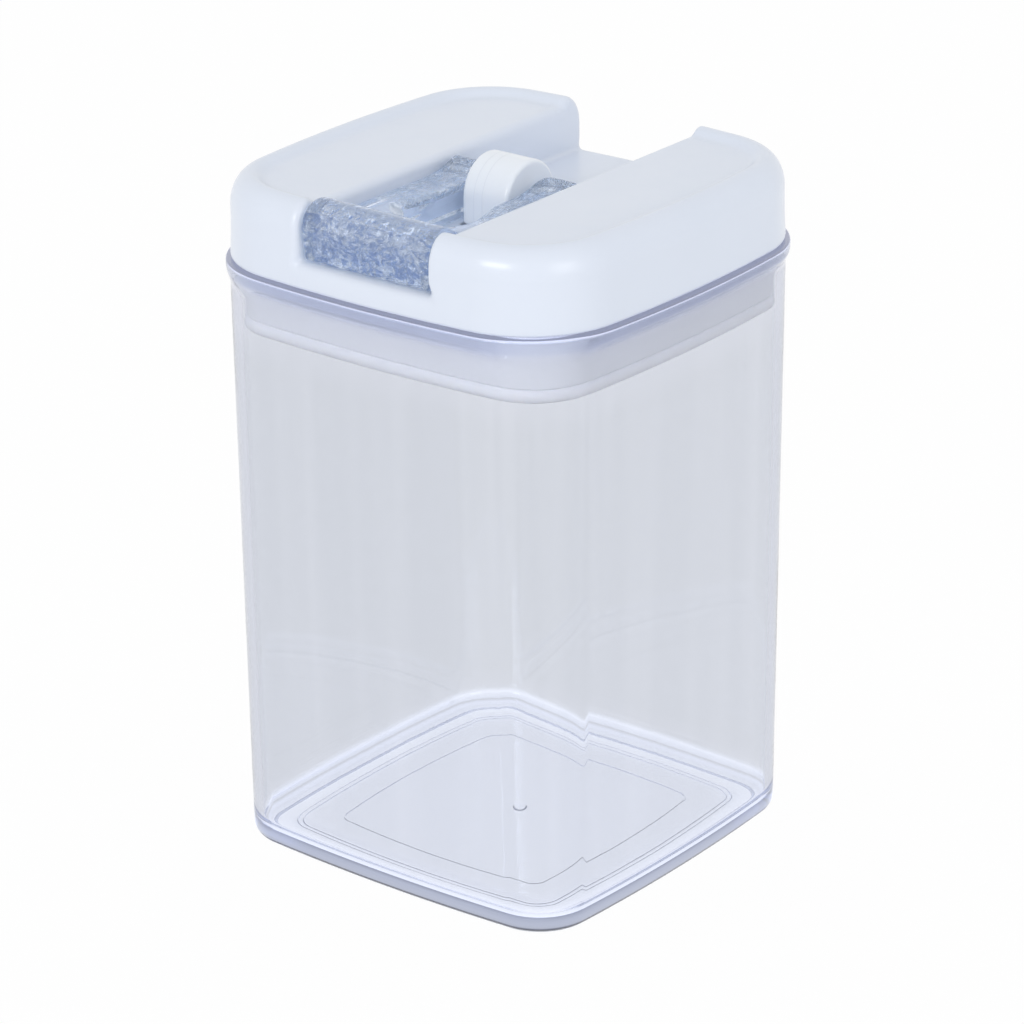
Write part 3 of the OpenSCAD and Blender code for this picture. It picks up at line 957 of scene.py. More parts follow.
def cover_rule(x, y, z):
    depth = -plan_depth(x, y, LID_HALF, LID_CORNER)
    up = np.clip((z - COVER_FOOT) / (CROWN_Z - CROWN_RISE - COVER_FOOT), 0, 1)
    depth = depth - SIDE_LEAN * up * (2 - up)
    across = np.maximum((CROWN_RUN - depth) / CROWN_RUN, 0)
    over = np.maximum((z - CROWN_Z + CROWN_RISE) / CROWN_RISE, 0)
    ring = np.hypot(across, over)
    steep = np.sqrt((across / CROWN_RUN) ** 2 + (over / CROWN_RISE) ** 2)
    dome = np.where(steep > 1e-6, (ring - 1) * ring / np.maximum(steep, 1e-6), -20)
    solid = np.where(across <= 0, z - CROWN_Z, np.where(over <= 0, -depth, dome))
    # stacking dish, with a sloped bank round it
    bank = ((depth - BANK_AT) * BANK_IN + (z - DISH_Z) * BANK_UP) / BANK_SLOPE
    dish = soft_max(DISH_Z - z, -bank, 0.9)
    solid = soft_max(solid, -dish, 1.2)
    # channel from front to back, open at the top
    side = np.abs(x) - CHANNEL_HALF
    floor = CHANNEL_Z - z
    channel = soft_max(side, floor, 1.2)
    high = np.clip((z - CHANNEL_Z - 1.0) / 2, 0, 1)
    edge = 2.6 + (np.where(x < 0, 2.2, 0.9) - 2.6) * high
    solid = soft_max(solid, -channel, edge)
    # window for the stem's head, and the pocket that the base plate closes
    window = soft_max(np.abs(x) - WINDOW_X, np.abs(y) - WINDOW_Y, 2.0)
    window = np.maximum(window, z - CHANNEL_Z - 3)
    solid = soft_max(solid, -window, 0.7)
    pocket = np.maximum(COVER_WALL - depth, z - BASE_TOP - 0.12)
    solid = soft_max(solid, -pocket, 0.3)
    return soft_max(solid, COVER_FOOT - z, 0.9)


cover = skin("cover_shell", cover_rule, (-52.2, -52.2, 138.9), (52.2, 52.2, 160.1), 0.55)

# %% [markdown]
# The stem's head fills the window. From the side it is a drum cut off flat at its foot, with
# a soft bevel round each face. The post below it carries the pressure plate.

# %% Stem
HEAD_R, HEAD_HALF, HEAD_FOOT = 8.7, 6.2, 145.6
POST_R, POST_FOOT = 5.0, 127.3
HEAD_BORE = 1.6


def stem_rule(x, y, z):
    up = z - PIVOT_Z
    drum = np.hypot(y, up) - HEAD_R
    block = soft_max(np.abs(y) - HEAD_R, HEAD_FOOT - z, 0.6)
    head = np.where(up > 0, drum, block)
    head = soft_max(head, np.abs(x) - HEAD_HALF, 1.1)
    bore = np.hypot(y, up) - HEAD_BORE
    head = soft_max(head, -bore, 0.5)
    post = soft_max(np.hypot(x, y) - POST_R, POST_FOOT - z, 0.6)
    post = np.maximum(post, z - HEAD_FOOT - 1)
    whole = soft_min(head, post, 0.5)
    screw_hole = soft_max(np.hypot(x, y) - 1.7, z - POST_FOOT - 13, 0.3)
    return soft_max(whole, -screw_hole, 0.3)


stem = skin("stem_and_head", stem_rule, (-7.1, -9.3, 126.7), (7.1, 9.3, 160.8), 0.33)

# %% [markdown]
# The lever is one solid clear moulding, shaped in its side view: a round crest over the
# finger end, a dip behind it, and two flat arms that reach back past the pin. Under the pin
# the arms are spirals. Laid flat, the lever holds the stem high on the wide part of the
# spiral. Stood up, it lets the stem sink on the narrow part. Seen from above it is a block
# with a round-ended slot that clears the stem's head. The side view comes first.

# %% Side view of the lever
LEVER_HALF, ARM_TOP = 17.4, 154.1
WELL_HALF, WELL_TIP = 7.3, -23.7
CREST_Y, CREST_Z, CREST_R = -43.9, 153.2, 5.7
SWEEP_Y, SWEEP_Z, SWEEP_R = -33.96, 161.1, 7.0
TAIL_Y, TAIL_Z, TAIL_R, TAIL_END = -9.0, 181.24, 27.14, 2.8
PIN_BORE = 1.6
HOLLOW_R, HOLLOW_FRONT = 3.3, -47.2
CAM_H, CAM_FALL = 5.5, 2.7 / (math.pi / 2)


def cam_curve():
    """The spiral under the pin: its angle from straight down, and its radius there."""
    flip = np.linspace(0, math.pi / 2, 40)
    tall = CAM_H - CAM_FALL * flip
    turn = np.degrees(flip - np.arctan2(CAM_FALL, tall))
    return np.append(turn, 100), np.append(np.hypot(tall, CAM_FALL), 4.6)


CAM = cam_curve()
print(f"cam radius from {CAM[1].max():.2f} to {CAM[1].min():.2f} mm")


def lever_top(y):
    """Height and slope of the upper side, from the crest back to the arms' ends."""
    join = CREST_Y + (SWEEP_Y - CREST_Y) * CREST_R / (CREST_R + SWEEP_R)
    crest = np.sqrt(np.maximum(CREST_R ** 2 - (y - CREST_Y) ** 2, 0.01))
    sweep = np.sqrt(np.maximum(SWEEP_R ** 2 - (y - SWEEP_Y) ** 2, 0.01))
    tail = np.sqrt(np.maximum(TAIL_R ** 2 - (y - TAIL_Y) ** 2, 0.01))
    parts = [(y < join), (y < SWEEP_Y), (y < TAIL_Y)]
    height = np.select(parts, [CREST_Z + crest, SWEEP_Z - sweep, ARM_TOP + 0 * y], TAIL_Z - tail)
    steep = np.select(parts, [(CREST_Y - y) / crest, (y - SWEEP_Y) / sweep, 0 * y],
                      (y - TAIL_Y) / tail)
    return height, steep


def lever_side(y, z):
    """The side view as a rule."""
    height, steep = lever_top(np.clip(y, CREST_Y, 6))
    upper = (z - height) / np.hypot(1, steep)
    front = (-7.1 * (y + 49.6) - (z - CREST_Z)) / 7.17
    crest = np.where(z > CREST_Z, np.hypot(y - CREST_Y, z - CREST_Z) - CREST_R, front)
    upper = np.where(y < CREST_Y, crest, upper)
    up = z - PIVOT_Z
    flat = -5.4 - 0.1 * np.clip((y + 3.72) / 2, 0, 1) - up
    turn = np.degrees(np.arctan2(y, -up))
    cam = np.where(up < 0, np.hypot(y, up) - np.interp(turn, *CAM), -4.6)
    return soft_max(upper, np.where(y < -CAM_FALL, flat, cam), 0.5)


# %% [markdown]
# Across its width the lever is that side view, cut to length and rounded. Taken from it are
# the well for the stem's head, which opens like a funnel towards the finger end, a pocket
# under the crest that keeps the bar's wall even, and the bore for the pin.

# %% Lever
FUNNEL_SOFT, FUNNEL_WIDE = 0.9, 4.6
FUNNEL_Y, FUNNEL_RUN, FUNNEL_Z, FUNNEL_RISE = -14, 9, 149, 2


def lever_rule(x, y, z):
    body = soft_max(lever_side(y, z), np.abs(x) - LEVER_HALF, 1.1)
    # well for the stem's head
    round_end = np.hypot(x, y - WELL_TIP) - WELL_HALF
    well = np.where(y < WELL_TIP, round_end, np.abs(x) - WELL_HALF)
    forward = np.clip((FUNNEL_Y - y) / FUNNEL_RUN, 0, 1)
    upward = np.clip((z - FUNNEL_Z) / FUNNEL_RISE, 0, 1)
    funnel = FUNNEL_SOFT + FUNNEL_WIDE * forward * upward
    body = soft_max(body, soft_max(y - TAIL_END, -well, 3.4), funnel)
    # pocket under the crest
    hollow = np.hypot(y - CREST_Y, z - CREST_Z) - HOLLOW_R
    slot = np.maximum(np.maximum(HOLLOW_FRONT - y, y + 40.6), z - CREST_Z)
    low = np.maximum(np.maximum(HOLLOW_FRONT - y, y + 33.4), z - 151.7)
    pocket = soft_min(soft_min(hollow, slot, 1.0), low, 1.5)
    body = soft_max(body, -soft_max(pocket, np.abs(x) - 15.0, 1.2), 0.8)
    # bore for the pin
    pin = np.hypot(y, z - PIVOT_Z) - PIN_BORE
    return soft_max(body, -pin, 0.3)


lever = skin("lever_moulding", lever_rule, (-18.1, -50.4, 145.3), (18.1, 3.6, 159.6), 0.36)

# %% [markdown]
# The hinge pin, the stem's own screw and its washer finish the works. All three are turned
# shapes. The pin shows through the clear arms, so its ends get the small chamfers of a
# cropped and tumbled pin, and a shallow groove in the middle, where it bites in the stem.

# %% Pin, stem screw and washer
PIN_HALF, PIN_R = 16.6, 1.5


def lay_across(mesh, height):
    """Turns a mesh made round Z to lie along X at the given height."""
    mesh.transform(Matrix.Translation((0, 0, height * MM)) @ Matrix.Rotation(math.pi / 2, 4, "Y"))
    return mesh


pin_profile = [(0, -PIN_HALF), (1.15, -PIN_HALF), (1.3, -PIN_HALF + 0.08),
               (PIN_R, -PIN_HALF + 0.4), (PIN_R, -1.2), (1.38, -0.9), (1.38, 0.9), (PIN_R, 1.2),
               (PIN_R, PIN_HALF - 0.4), (1.3, PIN_HALF - 0.08), (1.15, PIN_HALF), (0, PIN_HALF)]
pin = link_object("hinge_pin", lay_across(turned_mesh("hinge_pin", pin_profile), PIVOT_Z))
stem_screw = link_object("stem_pan_screw", screw_mesh(
    "stem_pan_screw", low=121.6, head=3.2, thick=1.9, shank=1.6, tall=17.7))
washer_profile = [(1.75, 123.55), (1.85, 123.5), (3.25, 123.5), (3.4, 123.65), (3.4, 124.15),
                  (3.25, 124.3), (1.85, 124.3), (1.75, 124.2)]
washer = link_object("stem_washer", turned_mesh("stem_washer", washer_profile, ring=True))
for piece in (pin, stem_screw, washer):
    measured(piece)

# %% [markdown]
# Every finish shares a few effects, so each effect is a node group, built once: handling
# smudges, the slow ripple and fine grain that a mould leaves, tiny specks, and dust that
# settles on upward faces. All of them read the piece's own coordinates, in millimetres, so
# a pattern stays put when the piece moves. A group only puts out masks and heights. The
# shader that uses them stays in the material.

# %% Making an effect


def effect(name, output, **numbers):
    """An empty group that takes a place and some numbers, and puts out one number."""
    tree = bpy.data.node_groups.new(name, "ShaderNodeTree")
    new_socket(tree, "Place", "NodeSocketVector")
    for title, value in numbers.items():
        new_socket(tree, title, "NodeSocketFloat", value=value)
    new_socket(tree, output, "NodeSocketFloat", "OUTPUT")
    return tree, add(tree, "NodeGroupInput").outputs


def finish_effect(tree, feed):
    add(tree, "NodeGroupOutput", {0: feed})
    print(tree.name, "has", len(tree.nodes), "nodes")
    return tree


def stretched(tree, place, stretch):
    """Coordinates times one number, or times a number for each axis."""
    return vectors(tree, "MULTIPLY" if isinstance(stretch, tuple) else "SCALE", place, stretch)


def noise(tree, place, stretch=None, detail=2.0, rough=0.5, warp=0.0):
    if stretch is not None:
        place = stretched(tree, place, stretch)
    return add(tree, "ShaderNodeTexNoise", {"Vector": place, "Scale": 1.0, "Detail": detail,
                                            "Roughness": rough, "Distortion": warp}).outputs[0]


def ramp(tree, feed, low, high):
    """Rises smoothly from 0 to 1 as the feed goes from low to high."""
    return add(tree, "ShaderNodeMapRange", {"Value": feed, "From Min": low, "From Max": high},
               interpolation_type="SMOOTHSTEP").outputs[0]


def facing_up(tree):
    """1 where a face looks straight up, 0 on a wall, and -1 where it looks straight down."""
    return parts_of(tree, add(tree, "ShaderNodeNewGeometry").outputs["Normal"])["Z"]


# %% [markdown]
# Hands leave broad cloudy patches with finer wiped streaks in them. Two noises make them:
# one says where the patches are, and one that is squeezed in height gives the streaks.

# %% Handling smudges


def smudge_effect():
    tree, given = effect("handling_smudges", "Mask", Size=20.0)
    place = stretched(tree, given["Place"], maths(tree, "DIVIDE", 1.0, given["Size"]))
    cloud = ramp(tree, noise(tree, place, warp=0.3), 0.4, 0.8)
    wipe = ramp(tree, noise(tree, place, (1.2, 1.2, 3.6), detail=1.0), 0.25, 0.85)
    return finish_effect(tree, times(tree, cloud, maths(tree, "MULTIPLY_ADD", wipe, 0.7, 0.3)))


SMUDGES = smudge_effect()


# %% [markdown]
# A mould leaves three things in a surface: a slow ripple, faint lines up the wall where the
# plastic flowed, and a fine grain. Their heights add up, each by its own share.

# %% Moulded flow


def flow_effect():
    tree, given = effect("moulded_flow", "Height", Ripple=1.0, Lines=1.0, Grain=1.0)
    slow = noise(tree, given["Place"], (0.04, 0.04, 0.026), detail=1.0)
    line = noise(tree, given["Place"], (0.3, 0.3, 0.02), warp=0.4)
    fine = noise(tree, given["Place"], 1.3)
    total = times(tree, slow, given["Ripple"])
    for height, share in ((line, "Lines"), (fine, "Grain")):
        total = maths(tree, "MULTIPLY_ADD", height, given[share], total)
    return finish_effect(tree, total)


FLOW = flow_effect()


# %% [markdown]
# Specks are tiny and round, a few in every square centimetre or so. Voronoi cells give one
# middle each, their random colours pick which cells get a speck, and how large it is.

# %% Fine specks


def speck_effect():
    tree, given = effect("fine_specks", "Mask", Spacing=8.0, Radius=0.12)
    place = stretched(tree, given["Place"], maths(tree, "DIVIDE", 1.0, given["Spacing"]))
    cells = add(tree, "ShaderNodeTexVoronoi", {"Vector": place, "Scale": 1.0}).outputs
    chosen = add(tree, "ShaderNodeSeparateColor", {0: cells["Color"]}).outputs
    reach = times(tree, maths(tree, "DIVIDE", given["Radius"], given["Spacing"]),
                  maths(tree, "MULTIPLY_ADD", chosen[1], 1.2, 0.4))
    inside = maths(tree, "LESS_THAN", cells["Distance"], reach)
    some = maths(tree, "GREATER_THAN", chosen[0], 0.45)
    return finish_effect(tree, times(tree, inside, some))


SPECKS = speck_effect()


# %% [markdown]
# Dust settles on faces that look up, and gathers in soft patches.

# %% Settled dust


def dust_effect():
    tree, given = effect("settled_dust", "Mask", Size=6.0)
    up = ramp(tree, facing_up(tree), 0.75, 1.0)
    small = maths(tree, "DIVIDE", 1.0, given["Size"])
    patch = ramp(tree, noise(tree, given["Place"], small, 5.0, 0.65), 0.38, 0.75)
    return finish_effect(tree, times(tree, up, patch))


DUST = dust_effect()


# %% [markdown]
# A material takes an effect by placing its group and giving it this piece's own numbers.

# %% Using an effect


def set_on(tree, node, feeds):
    for key, feed in feeds.items():
        feed_to(tree, node.inputs[key], feed)


def use(tree, group, place, **numbers):
    made = add(tree, "ShaderNodeGroup", node_tree=group)
    set_on(tree, made, {"Place": place, **numbers})
    return made.outputs[0]


# %% [markdown]
# A finish starts the same way each time: a new material, its coordinates in millimetres,
# and a Principled shader. Heights go through one Bump node whose Distance is in metres, so
# with a distance of one millimetre a height of 1 is one millimetre. Each finish then prints
# how many nodes it took. A zone of a finish is a pair of places, in millimetres, between
# which it fades in.

# %% Start of a finish


def start_finish(name):
    finish = bpy.data.materials.new(name)
    tree = bare_tree(finish)
    place = vectors(tree, "SCALE", add(tree, "ShaderNodeTexCoord").outputs["Object"], 1 / MM)
    shader = add(tree, "ShaderNodeBsdfPrincipled")
    add(tree, "ShaderNodeOutputMaterial", {"Surface": shader.outputs[0]})
    return finish, tree, place, shader


def bump(tree, height):
    """Tilts the shading by a height in millimetres."""
    return add(tree, "ShaderNodeBump", {"Height": height, "Strength": 1.0,
                                        "Distance": MM}).outputs[0]


def shades(tree, share, first, second):
    """A colour that moves from the first to the second with a mask."""
    first, second = (c if isinstance(c, bpy.types.NodeSocket) else (*c, 1)
                     for c in (first, second))
    made = add(tree, "ShaderNodeMix", {"Factor": share, "A": first, "B": second},
               data_type="RGBA")
    return socket_of(made.outputs, "Result")


def report(*finishes):
    for finish in finishes:
        print(finish.name, "has", len(finish.node_tree.nodes), "nodes")


def blend_by(tree, share, low, high):
    """A number that moves from low to high with a mask."""
    return maths(tree, "MULTIPLY_ADD", share, high - low, low)


# %% [markdown]
# Clear plastic needs two things more. A volume absorbs light in the thick of it. Rays from
# lamps cross it straight, a little tinted, so that what is behind it is lit.

# %% Clear plastic
CLEAR = {"IOR": 1.57, "Transmission Weight": 1.0}


def see_through(tree, shader, thick, density, lamps):
    surface = shader.outputs[0].links[0].to_socket
    depth = add(tree, "ShaderNodeVolumeAbsorption", {"Color": (*thick, 1), "Density": density})
    tree.links.new(depth.outputs[0], surface.node.inputs["Volume"])
    path = add(tree, "ShaderNodeLightPath").outputs["Is Shadow Ray"]
    straight = add(tree, "ShaderNodeBsdfTransparent", {"Color": (*lamps, 1)})
    mixed = add(tree, "ShaderNodeMixShader", {0: path, 1: shader.outputs[0],
                                              2: straight.outputs[0]})
    tree.links.new(mixed.outputs[0], surface)


# %% [markdown]
# The container is clear styrene plastic. It is stronger in refraction than glass and a
# little grey-lilac in the thick, because the plastic takes some light on the way through.
# Most of that is a volume that absorbs, so edges and corners go darker by themselves. The
# walls add a slight tint with upright streaks, and the flange a little more. The surface is
# polished, with the mould's slow ripple in it. Light that is caught inside the wall runs
# along it and comes out at the rim and the foot. A path of that many bounces would end
# black, so those edges get a faint glow of their own.

# %% Clear body finish
PALE_TINT = (0.985, 0.988, 0.99)
WALL_FROM, WALL_TO, FLANGE_TINT_FROM = (4.0, 12.0), (127.0, 117.0), (135.5, 137.5)
RIM_GLOW, FOOT_GLOW, SIDE_GLOW = (139.0, 139.6), (1.7, 0.5), (6.5, 3.5)


def near_outline(tree, place):
    """1 close to the foot's outline and 0 from 14 mm in, by an eighth-power rounded square."""
    at = parts_of(tree, vectors(tree, "SCALE", place, 1 / 47))
    powers = [maths(tree, "POWER", maths(tree, "ABSOLUTE", at[k]), 8.0) for k in (0, 1)]
    return ramp(tree, maths(tree, "POWER", maths(tree, "ADD", *powers), 0.125), 0.70, 0.87)


def edge_glow(tree, tall, place):
    """Lilac at the rim, paler at the foot, and nothing between."""
    level = maths(tree, "ABSOLUTE", facing_up(tree))
    rim, foot = ramp(tree, tall, *RIM_GLOW), ramp(tree, tall, *FOOT_GLOW)
    side = times(tree, ramp(tree, tall, *SIDE_GLOW), ramp(tree, level, 0.5, 0.3))
    foot = times(tree, foot, blend_by(tree, near_outline(tree, place), 0.35, 0.62))
    foot = largest(tree, foot, times(tree, side, 0.56))
    lilac = vectors(tree, "SCALE", (0.26, 0.28, 0.39), rim)
    pale = vectors(tree, "SCALE", (0.52, 0.55, 0.62), foot)
    return vectors(tree, "ADD", lilac, pale)


def clear_body_finish():
    finish, tree, place, shader = start_finish("clear_plastic_body")
    smudge = use(tree, SMUDGES, place, Size=26.0)
    speck = use(tree, SPECKS, place, Spacing=9.0, Radius=0.11)
    height = use(tree, FLOW, place, Ripple=0.10, Lines=0.004, Grain=0.0006)
    tall = parts_of(tree, place)["Z"]
    walls = times(tree, ramp(tree, tall, *WALL_FROM), ramp(tree, tall, *WALL_TO))
    streak = ramp(tree, noise(tree, place, (0.16, 0.16, 0.004)), 0.42, 0.68)
    wall = shades(tree, streak, (0.936, 0.944, 0.941), (0.959, 0.965, 0.960))
    flange = ramp(tree, tall, *FLANGE_TINT_FROM)
    plain = shades(tree, flange, PALE_TINT, (0.91, 0.93, 0.97))
    tint = shades(tree, walls, plain, wall)
    set_on(tree, shader, {
        "Base Color": shades(tree, speck, tint, (0.60, 0.62, 0.66)),
        "Emission Color": edge_glow(tree, tall, place), "Emission Strength": 0.9,
        "Roughness": blend_by(tree, smudge, 0.008, 0.04),
        "Normal": bump(tree, height), **CLEAR})
    see_through(tree, shader, thick=(0.167, 0.239, 0.50), density=78.0, lamps=PALE_TINT)
    return finish


CLEAR_BODY = clear_body_finish()
report(CLEAR_BODY)

# %% [markdown]
# The lever is the same plastic with more blue toner, which hides the yellow of a thick
# moulding, and a little haze that a faint painted glow stands for. Its pocket, arms and
# underside carry a hammered texture, so the thick bar looks like broken water from in front.
# The dents bend light too finely for a path to follow, so the light and shade that they make
# is painted into the tint as lighter and darker patches, with near-white painted highlights
# in the pocket, and where they gather light they glow as small painted glints. The bar's
# front face is only lightly dented. Its patches of painted light and shade stand for what the
# dents behind it do.

# %% Clear lever finish
POCKET_FRONT, POCKET_BACK, POCKET_TOP = (-47.6, -47.3), (-33.0, -33.3), (157.3, 156.9)
SHOW_FACE, ARMS_BEHIND, ARMS_ABOVE = (-47.0, -47.8), (-27.0, -20.0), (152.6, 153.4)


def lever_finish():
    finish, tree, place, shader = start_finish("clear_plastic_lever")
    at = parts_of(tree, place)
    down = ramp(tree, facing_up(tree), -0.2, -0.6)
    in_front, behind = (ramp(tree, at["Y"], *zone) for zone in (POCKET_FRONT, POCKET_BACK))
    below = ramp(tree, at["Z"], *POCKET_TOP)
    pocket = times(tree, in_front, behind, below)
    show_face = times(tree, ramp(tree, at["Y"], *SHOW_FACE), below)
    arms = times(tree, ramp(tree, at["Y"], *ARMS_BEHIND), ramp(tree, at["Z"], *ARMS_ABOVE))
    shown = largest(tree, show_face, arms)
    rough_zone = largest(tree, down, pocket, times(tree, shown, 0.35))
    dent = noise(tree, place, (0.8, 0.5, 0.8), 2.5, 0.6, 0.9)
    caught_light = ramp(tree, noise(tree, place, (0.10, 0.2, 0.26), 1.5, 0.5, 0.6), 0.52, 0.66)
    patch = noise(tree, place, (0.34, 0.26, 0.50), 3.0, 0.6, 1.8)
    both = times(tree, maths(tree, "ADD", dent, patch), 0.5)
    hammered = times(tree, both, times(tree, rough_zone, 3.4))
    dent_light_and_shade = ramp(tree, both, 0.45, 0.55)
    glint = times(tree, ramp(tree, both, 0.565, 0.61), rough_zone)
    # Painted light and shade: the dents' mask gives lighter and darker copies of the tint on the
    # underside, in the pocket, on the arms and on the front face, and near-white painted
    # highlights where light is caught in the pocket.
    under = shades(tree, dent_light_and_shade, (0.60, 0.73, 0.94), (1.0, 1.0, 1.0))
    inside = shades(tree, dent_light_and_shade, (0.17, 0.30, 0.63), (0.78, 0.87, 0.99))
    inside = shades(tree, caught_light, inside, (0.97, 0.97, 0.98))
    top = shades(tree, dent_light_and_shade, (0.70, 0.81, 0.96), (1.0, 1.0, 1.0))
    front = shades(tree, ramp(tree, patch, 0.44, 0.54), (0.24, 0.35, 0.62), (1.0, 1.0, 1.0))
    tint = shades(tree, arms, shades(tree, down, (0.97, 0.98, 1.0), under), top)
    tint = shades(tree, pocket, tint, inside)
    tint = shades(tree, show_face, tint, front)
    flow = use(tree, FLOW, place, Ripple=0.05, Lines=0.004, Grain=0.0008)
    height = maths(tree, "ADD", hammered, flow)
    smudge = use(tree, SMUDGES, place, Size=14.0)
    speck = use(tree, SPECKS, place, Spacing=6.0, Radius=0.1)
    set_on(tree, shader, {
        "Base Color": shades(tree, speck, tint, (0.55, 0.62, 0.76)),
        "Roughness": blend_by(tree, smudge, 0.01, 0.06),
        # Emission is painted light: a faint glow over the whole lever, and brighter painted
        # glints where the dents gather it.
        "Emission Color": shades(tree, glint, (0.035, 0.046, 0.066), (0.60, 0.66, 0.76)),
        "Emission Strength": 0.5,
        "Normal": bump(tree, height), **CLEAR})
    see_through(tree, shader, thick=(0.20, 0.47, 0.84), density=8.0, lamps=(0.82, 0.89, 0.97))
    return finish


CLEAR_LEVER = lever_finish()
report(CLEAR_LEVER)

# %% [markdown]
# The cover is glossy white plastic with a cold cast. It shows what any kitchen lid shows up
# close: wiped smudges that dull the gloss, a slow unevenness from the mould, fine scuffs on
# the dish where other canisters have stood, and a little dust in the hollows.

# %% White cover finish
WHITE_IOR, COAT_ROUGHNESS = 1.5, 0.15


def scuffs(tree, place):
    """Fine short scratches: two stretched noises that cross, cut to thin lines."""
    thin = []
    for turn, stretch in ((0.5, (4.0, 0.16, 4.0)), (-0.9, (3.0, 0.12, 3.0))):
        laid = add(tree, "ShaderNodeVectorRotate", {"Vector": place, "Angle": turn}).outputs[0]
        lines = maths(tree, "SUBTRACT", noise(tree, laid, stretch, 1.0, 0.4), 0.5)
        thin.append(ramp(tree, maths(tree, "ABSOLUTE", lines), 0.012, 0.0))
    return largest(tree, *thin)


def white_finish(name, bright, dim, gloss, dull, coat, dish=False):
    finish, tree, place, shader = start_finish(name)
    smudge = use(tree, SMUDGES, place, Size=18.0)
    dust = use(tree, DUST, place, Size=7.0)
    speck = use(tree, SPECKS, place, Spacing=11.0, Radius=0.1)
    height = use(tree, FLOW, place, Ripple=0.12, Lines=0.002, Grain=0.0018)
    cloud = noise(tree, place, 0.045, 3.0)
    rough = maths(tree, "MULTIPLY_ADD", dust, 0.1, blend_by(tree, smudge, gloss, dull))
    if dish:
        up = ramp(tree, parts_of(tree, place)["Z"], 156.8, 158.4)
        worn = times(tree, scuffs(tree, place), times(tree, up, 0.5))
        rough = maths(tree, "MULTIPLY_ADD", worn, 0.2, rough)
        height = maths(tree, "MULTIPLY_ADD", worn, -0.006, height)
    marked = largest(tree, times(tree, speck, 0.9), times(tree, cloud, 0.35))
    set_on(tree, shader, {
        "Base Color": shades(tree, marked, bright, dim), "Roughness": rough, "IOR": WHITE_IOR,
        "Coat Weight": blend_by(tree, smudge, coat, 0.4 * coat),
        "Coat Roughness": COAT_ROUGHNESS, "Normal": bump(tree, height)})
    return finish


WHITE_COVER = white_finish("white_gloss_cover", (0.79, 0.84, 0.94), (0.73, 0.78, 0.88),
                           gloss=0.29, dull=0.37, coat=0.32, dish=True)
# The base's white is painted lighter than the cover's, to make up for the light that the clear
# walls hold back from the base, the plate and the ribs.
WHITE_BASE = white_finish("white_satin_base", (0.93, 0.945, 0.97), (0.88, 0.895, 0.92),
                          gloss=0.34, dull=0.48, coat=0.1)
report(WHITE_COVER, WHITE_BASE)

# %% [markdown]
# The stem's head is the same white plastic, painted lighter than the cover to make up for the
# shade of the channel that it sits in. Two fine lines run round its rim, where the mould's
# halves and its slide met. They are too fine for the mesh, so they are cut by the bump, from
# the distance to two planes across the pin, and their shade is painted into them as a
# slightly darker colour.

# %% Stem finish
LINES_AT = (-2.9, -0.6)


def stem_finish():
    finish, tree, place, shader = start_finish("white_gloss_stem")
    across = parts_of(tree, place)["X"]
    away = [maths(tree, "ABSOLUTE", maths(tree, "SUBTRACT", across, line)) for line in LINES_AT]
    groove = largest(tree, *(ramp(tree, gap, 0.16, 0.03) for gap in away))
    smudge = use(tree, SMUDGES, place, Size=12.0)
    height = use(tree, FLOW, place, Ripple=0.06, Lines=0.002, Grain=0.0016)
    height = maths(tree, "MULTIPLY_ADD", groove, -0.04, height)
    set_on(tree, shader, {
        # The white is painted lighter than the cover's, against the channel's shade, and the
        # grooves carry a painted shade.
        "Base Color": shades(tree, times(tree, groove, 0.25), (0.90, 0.94, 1.0),
                             (0.62, 0.67, 0.78)),
        "Roughness": blend_by(tree, smudge, 0.29, 0.38), "IOR": WHITE_IOR,
        "Coat Weight": blend_by(tree, smudge, 0.5, 0.2), "Coat Roughness": COAT_ROUGHNESS,
        "Normal": bump(tree, height)})
    return finish


WHITE_STEM = stem_finish()
report(WHITE_STEM)

# %% [markdown]
# The gasket is milky silicone. It is matt and a little see-through, so light sinks in before
# it comes back, which is what subsurface scattering does, and a faint painted glow lightens it
# a little more. Silicone holds dust, so its specks are closer together than on the hard
# plastic.

# %% Silicone finish


def silicone_finish():
    finish, tree, place, shader = start_finish("milky_silicone")
    cloud = noise(tree, place, 0.12, 3.0)
    lint = use(tree, SPECKS, place, Spacing=3.2, Radius=0.09)
    height = use(tree, FLOW, place, Ripple=0.1, Lines=0.01, Grain=0.012)
    marked = largest(tree, times(tree, lint, 0.8), times(tree, cloud, 0.3))
    set_on(tree, shader, {
        "Base Color": shades(tree, marked, (0.95, 0.96, 0.98), (0.82, 0.84, 0.88)),
        "Roughness": blend_by(tree, cloud, 0.42, 0.6), "IOR": 1.41,
        # A faint painted glow, though the gasket is no lamp.
        "Emission Color": (0.95, 0.97, 1.0, 1), "Emission Strength": 0.05,
        "Subsurface Weight": 0.25, "Subsurface Radius": (1.0, 0.9, 0.8),
        "Subsurface Scale": 1.5 * MM, "Normal": bump(tree, height)})
    return finish


SILICONE = silicone_finish()
report(SILICONE)

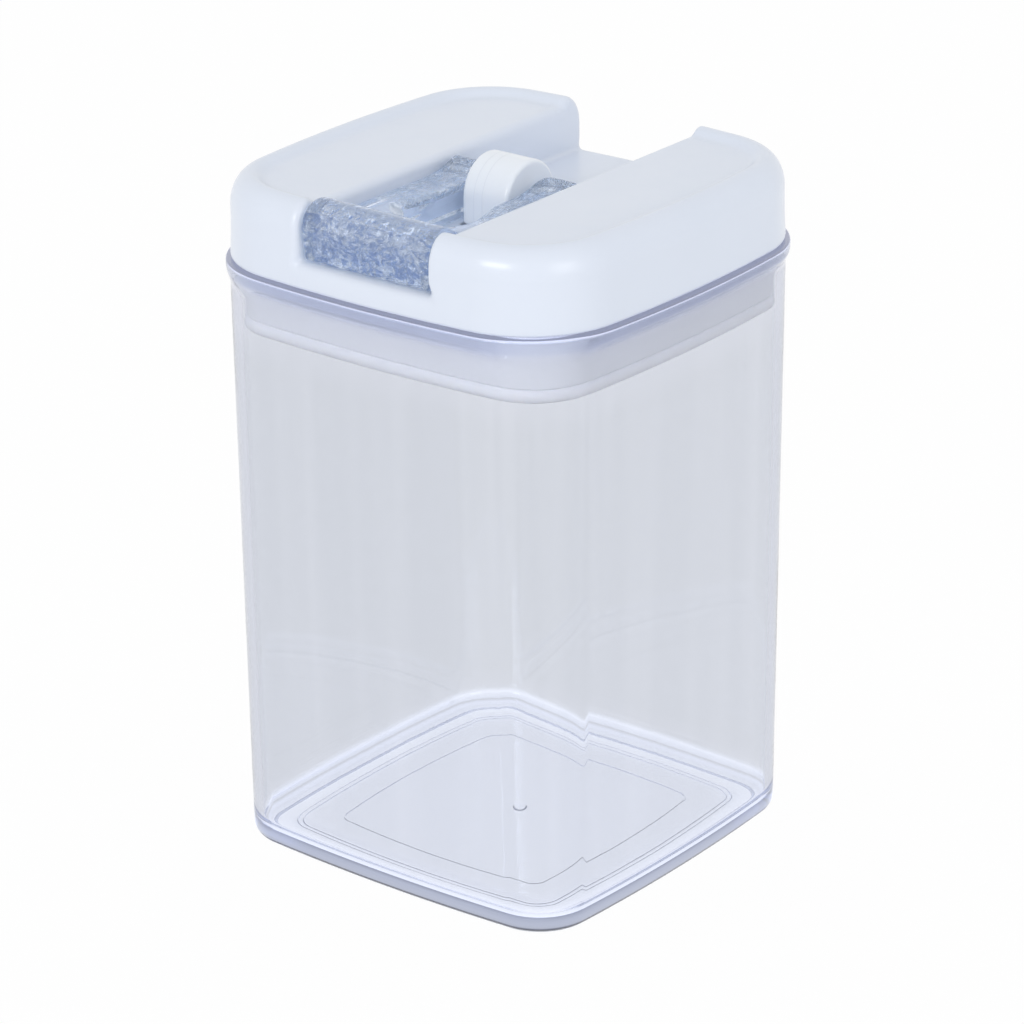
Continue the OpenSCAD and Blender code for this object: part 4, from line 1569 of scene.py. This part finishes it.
# %% [markdown]
# The pin and the screws are stainless steel. Turned parts carry fine rings round their
# axis, and wear bright where they rub. The rings are a noise stretched thin along one axis.

# %% Steel finish


def steel_finish():
    finish, tree, place, shader = start_finish("turned_steel")
    rings = noise(tree, place, (9.0, 0.3, 9.0), rough=0.6)
    stain = noise(tree, place, 0.5, 4.0, 0.6)
    fine = maths(tree, "MULTIPLY_ADD", rings, 0.004, times(tree, stain, 0.01))
    set_on(tree, shader, {
        "Base Color": shades(tree, stain, (0.70, 0.71, 0.72), (0.52, 0.53, 0.56)),
        "Metallic": 1.0, "Roughness": blend_by(tree, rings, 0.16, 0.38),
        "Normal": bump(tree, fine)})
    return finish


STEEL = steel_finish()
report(STEEL)

# %% [markdown]
# Each piece now gets its finish and the CAD body that it moves with, and the CAD node that it
# stands for is hidden. The table also holds the name of the record's finish, which nothing here
# uses.

# %% Dress, ride and replace
DRESSED = (
    (container, CLEAR_BODY, "container", ("container_body",), "clear_body"),
    (cover, WHITE_COVER, "lid", ("lid_cover",), "white_cover"),
    (lid_base, WHITE_BASE, "lid", ("lid_base",), "white_base"),
    (gasket, SILICONE, "lid", ("gasket",), "seal"),
    (screws, STEEL, "lid", ("cover_screws",), "steel"),
    (stem, WHITE_STEM, "stem", ("draw_stem",), "white_stem"),
    (plate, WHITE_BASE, "stem", ("pressure_plate",), "white_base"),
    (ribs, WHITE_BASE, "stem", ("pressure_plate",), "white_base"),
    (pin, STEEL, "stem", ("lever_pin",), "steel"),
    (stem_screw, STEEL, "stem", ("stem_screw",), "steel"),
    (washer, SILICONE, "stem", ("screw_seal",), "seal"),
    (lever, CLEAR_LEVER, "lever", ("lever",), "clear_lever"),
)

for piece, finish, body, nodes, finish_slot in DRESSED:
    piece.data.materials.clear()
    piece.data.materials.append(finish)
    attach(piece, body)
    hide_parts(*nodes)
print(len(DRESSED), "pieces dressed")

# %% [markdown]
# Last comes the plain view setting.

# %% Finish
bpy.context.scene.view_settings.view_transform = "Standard"
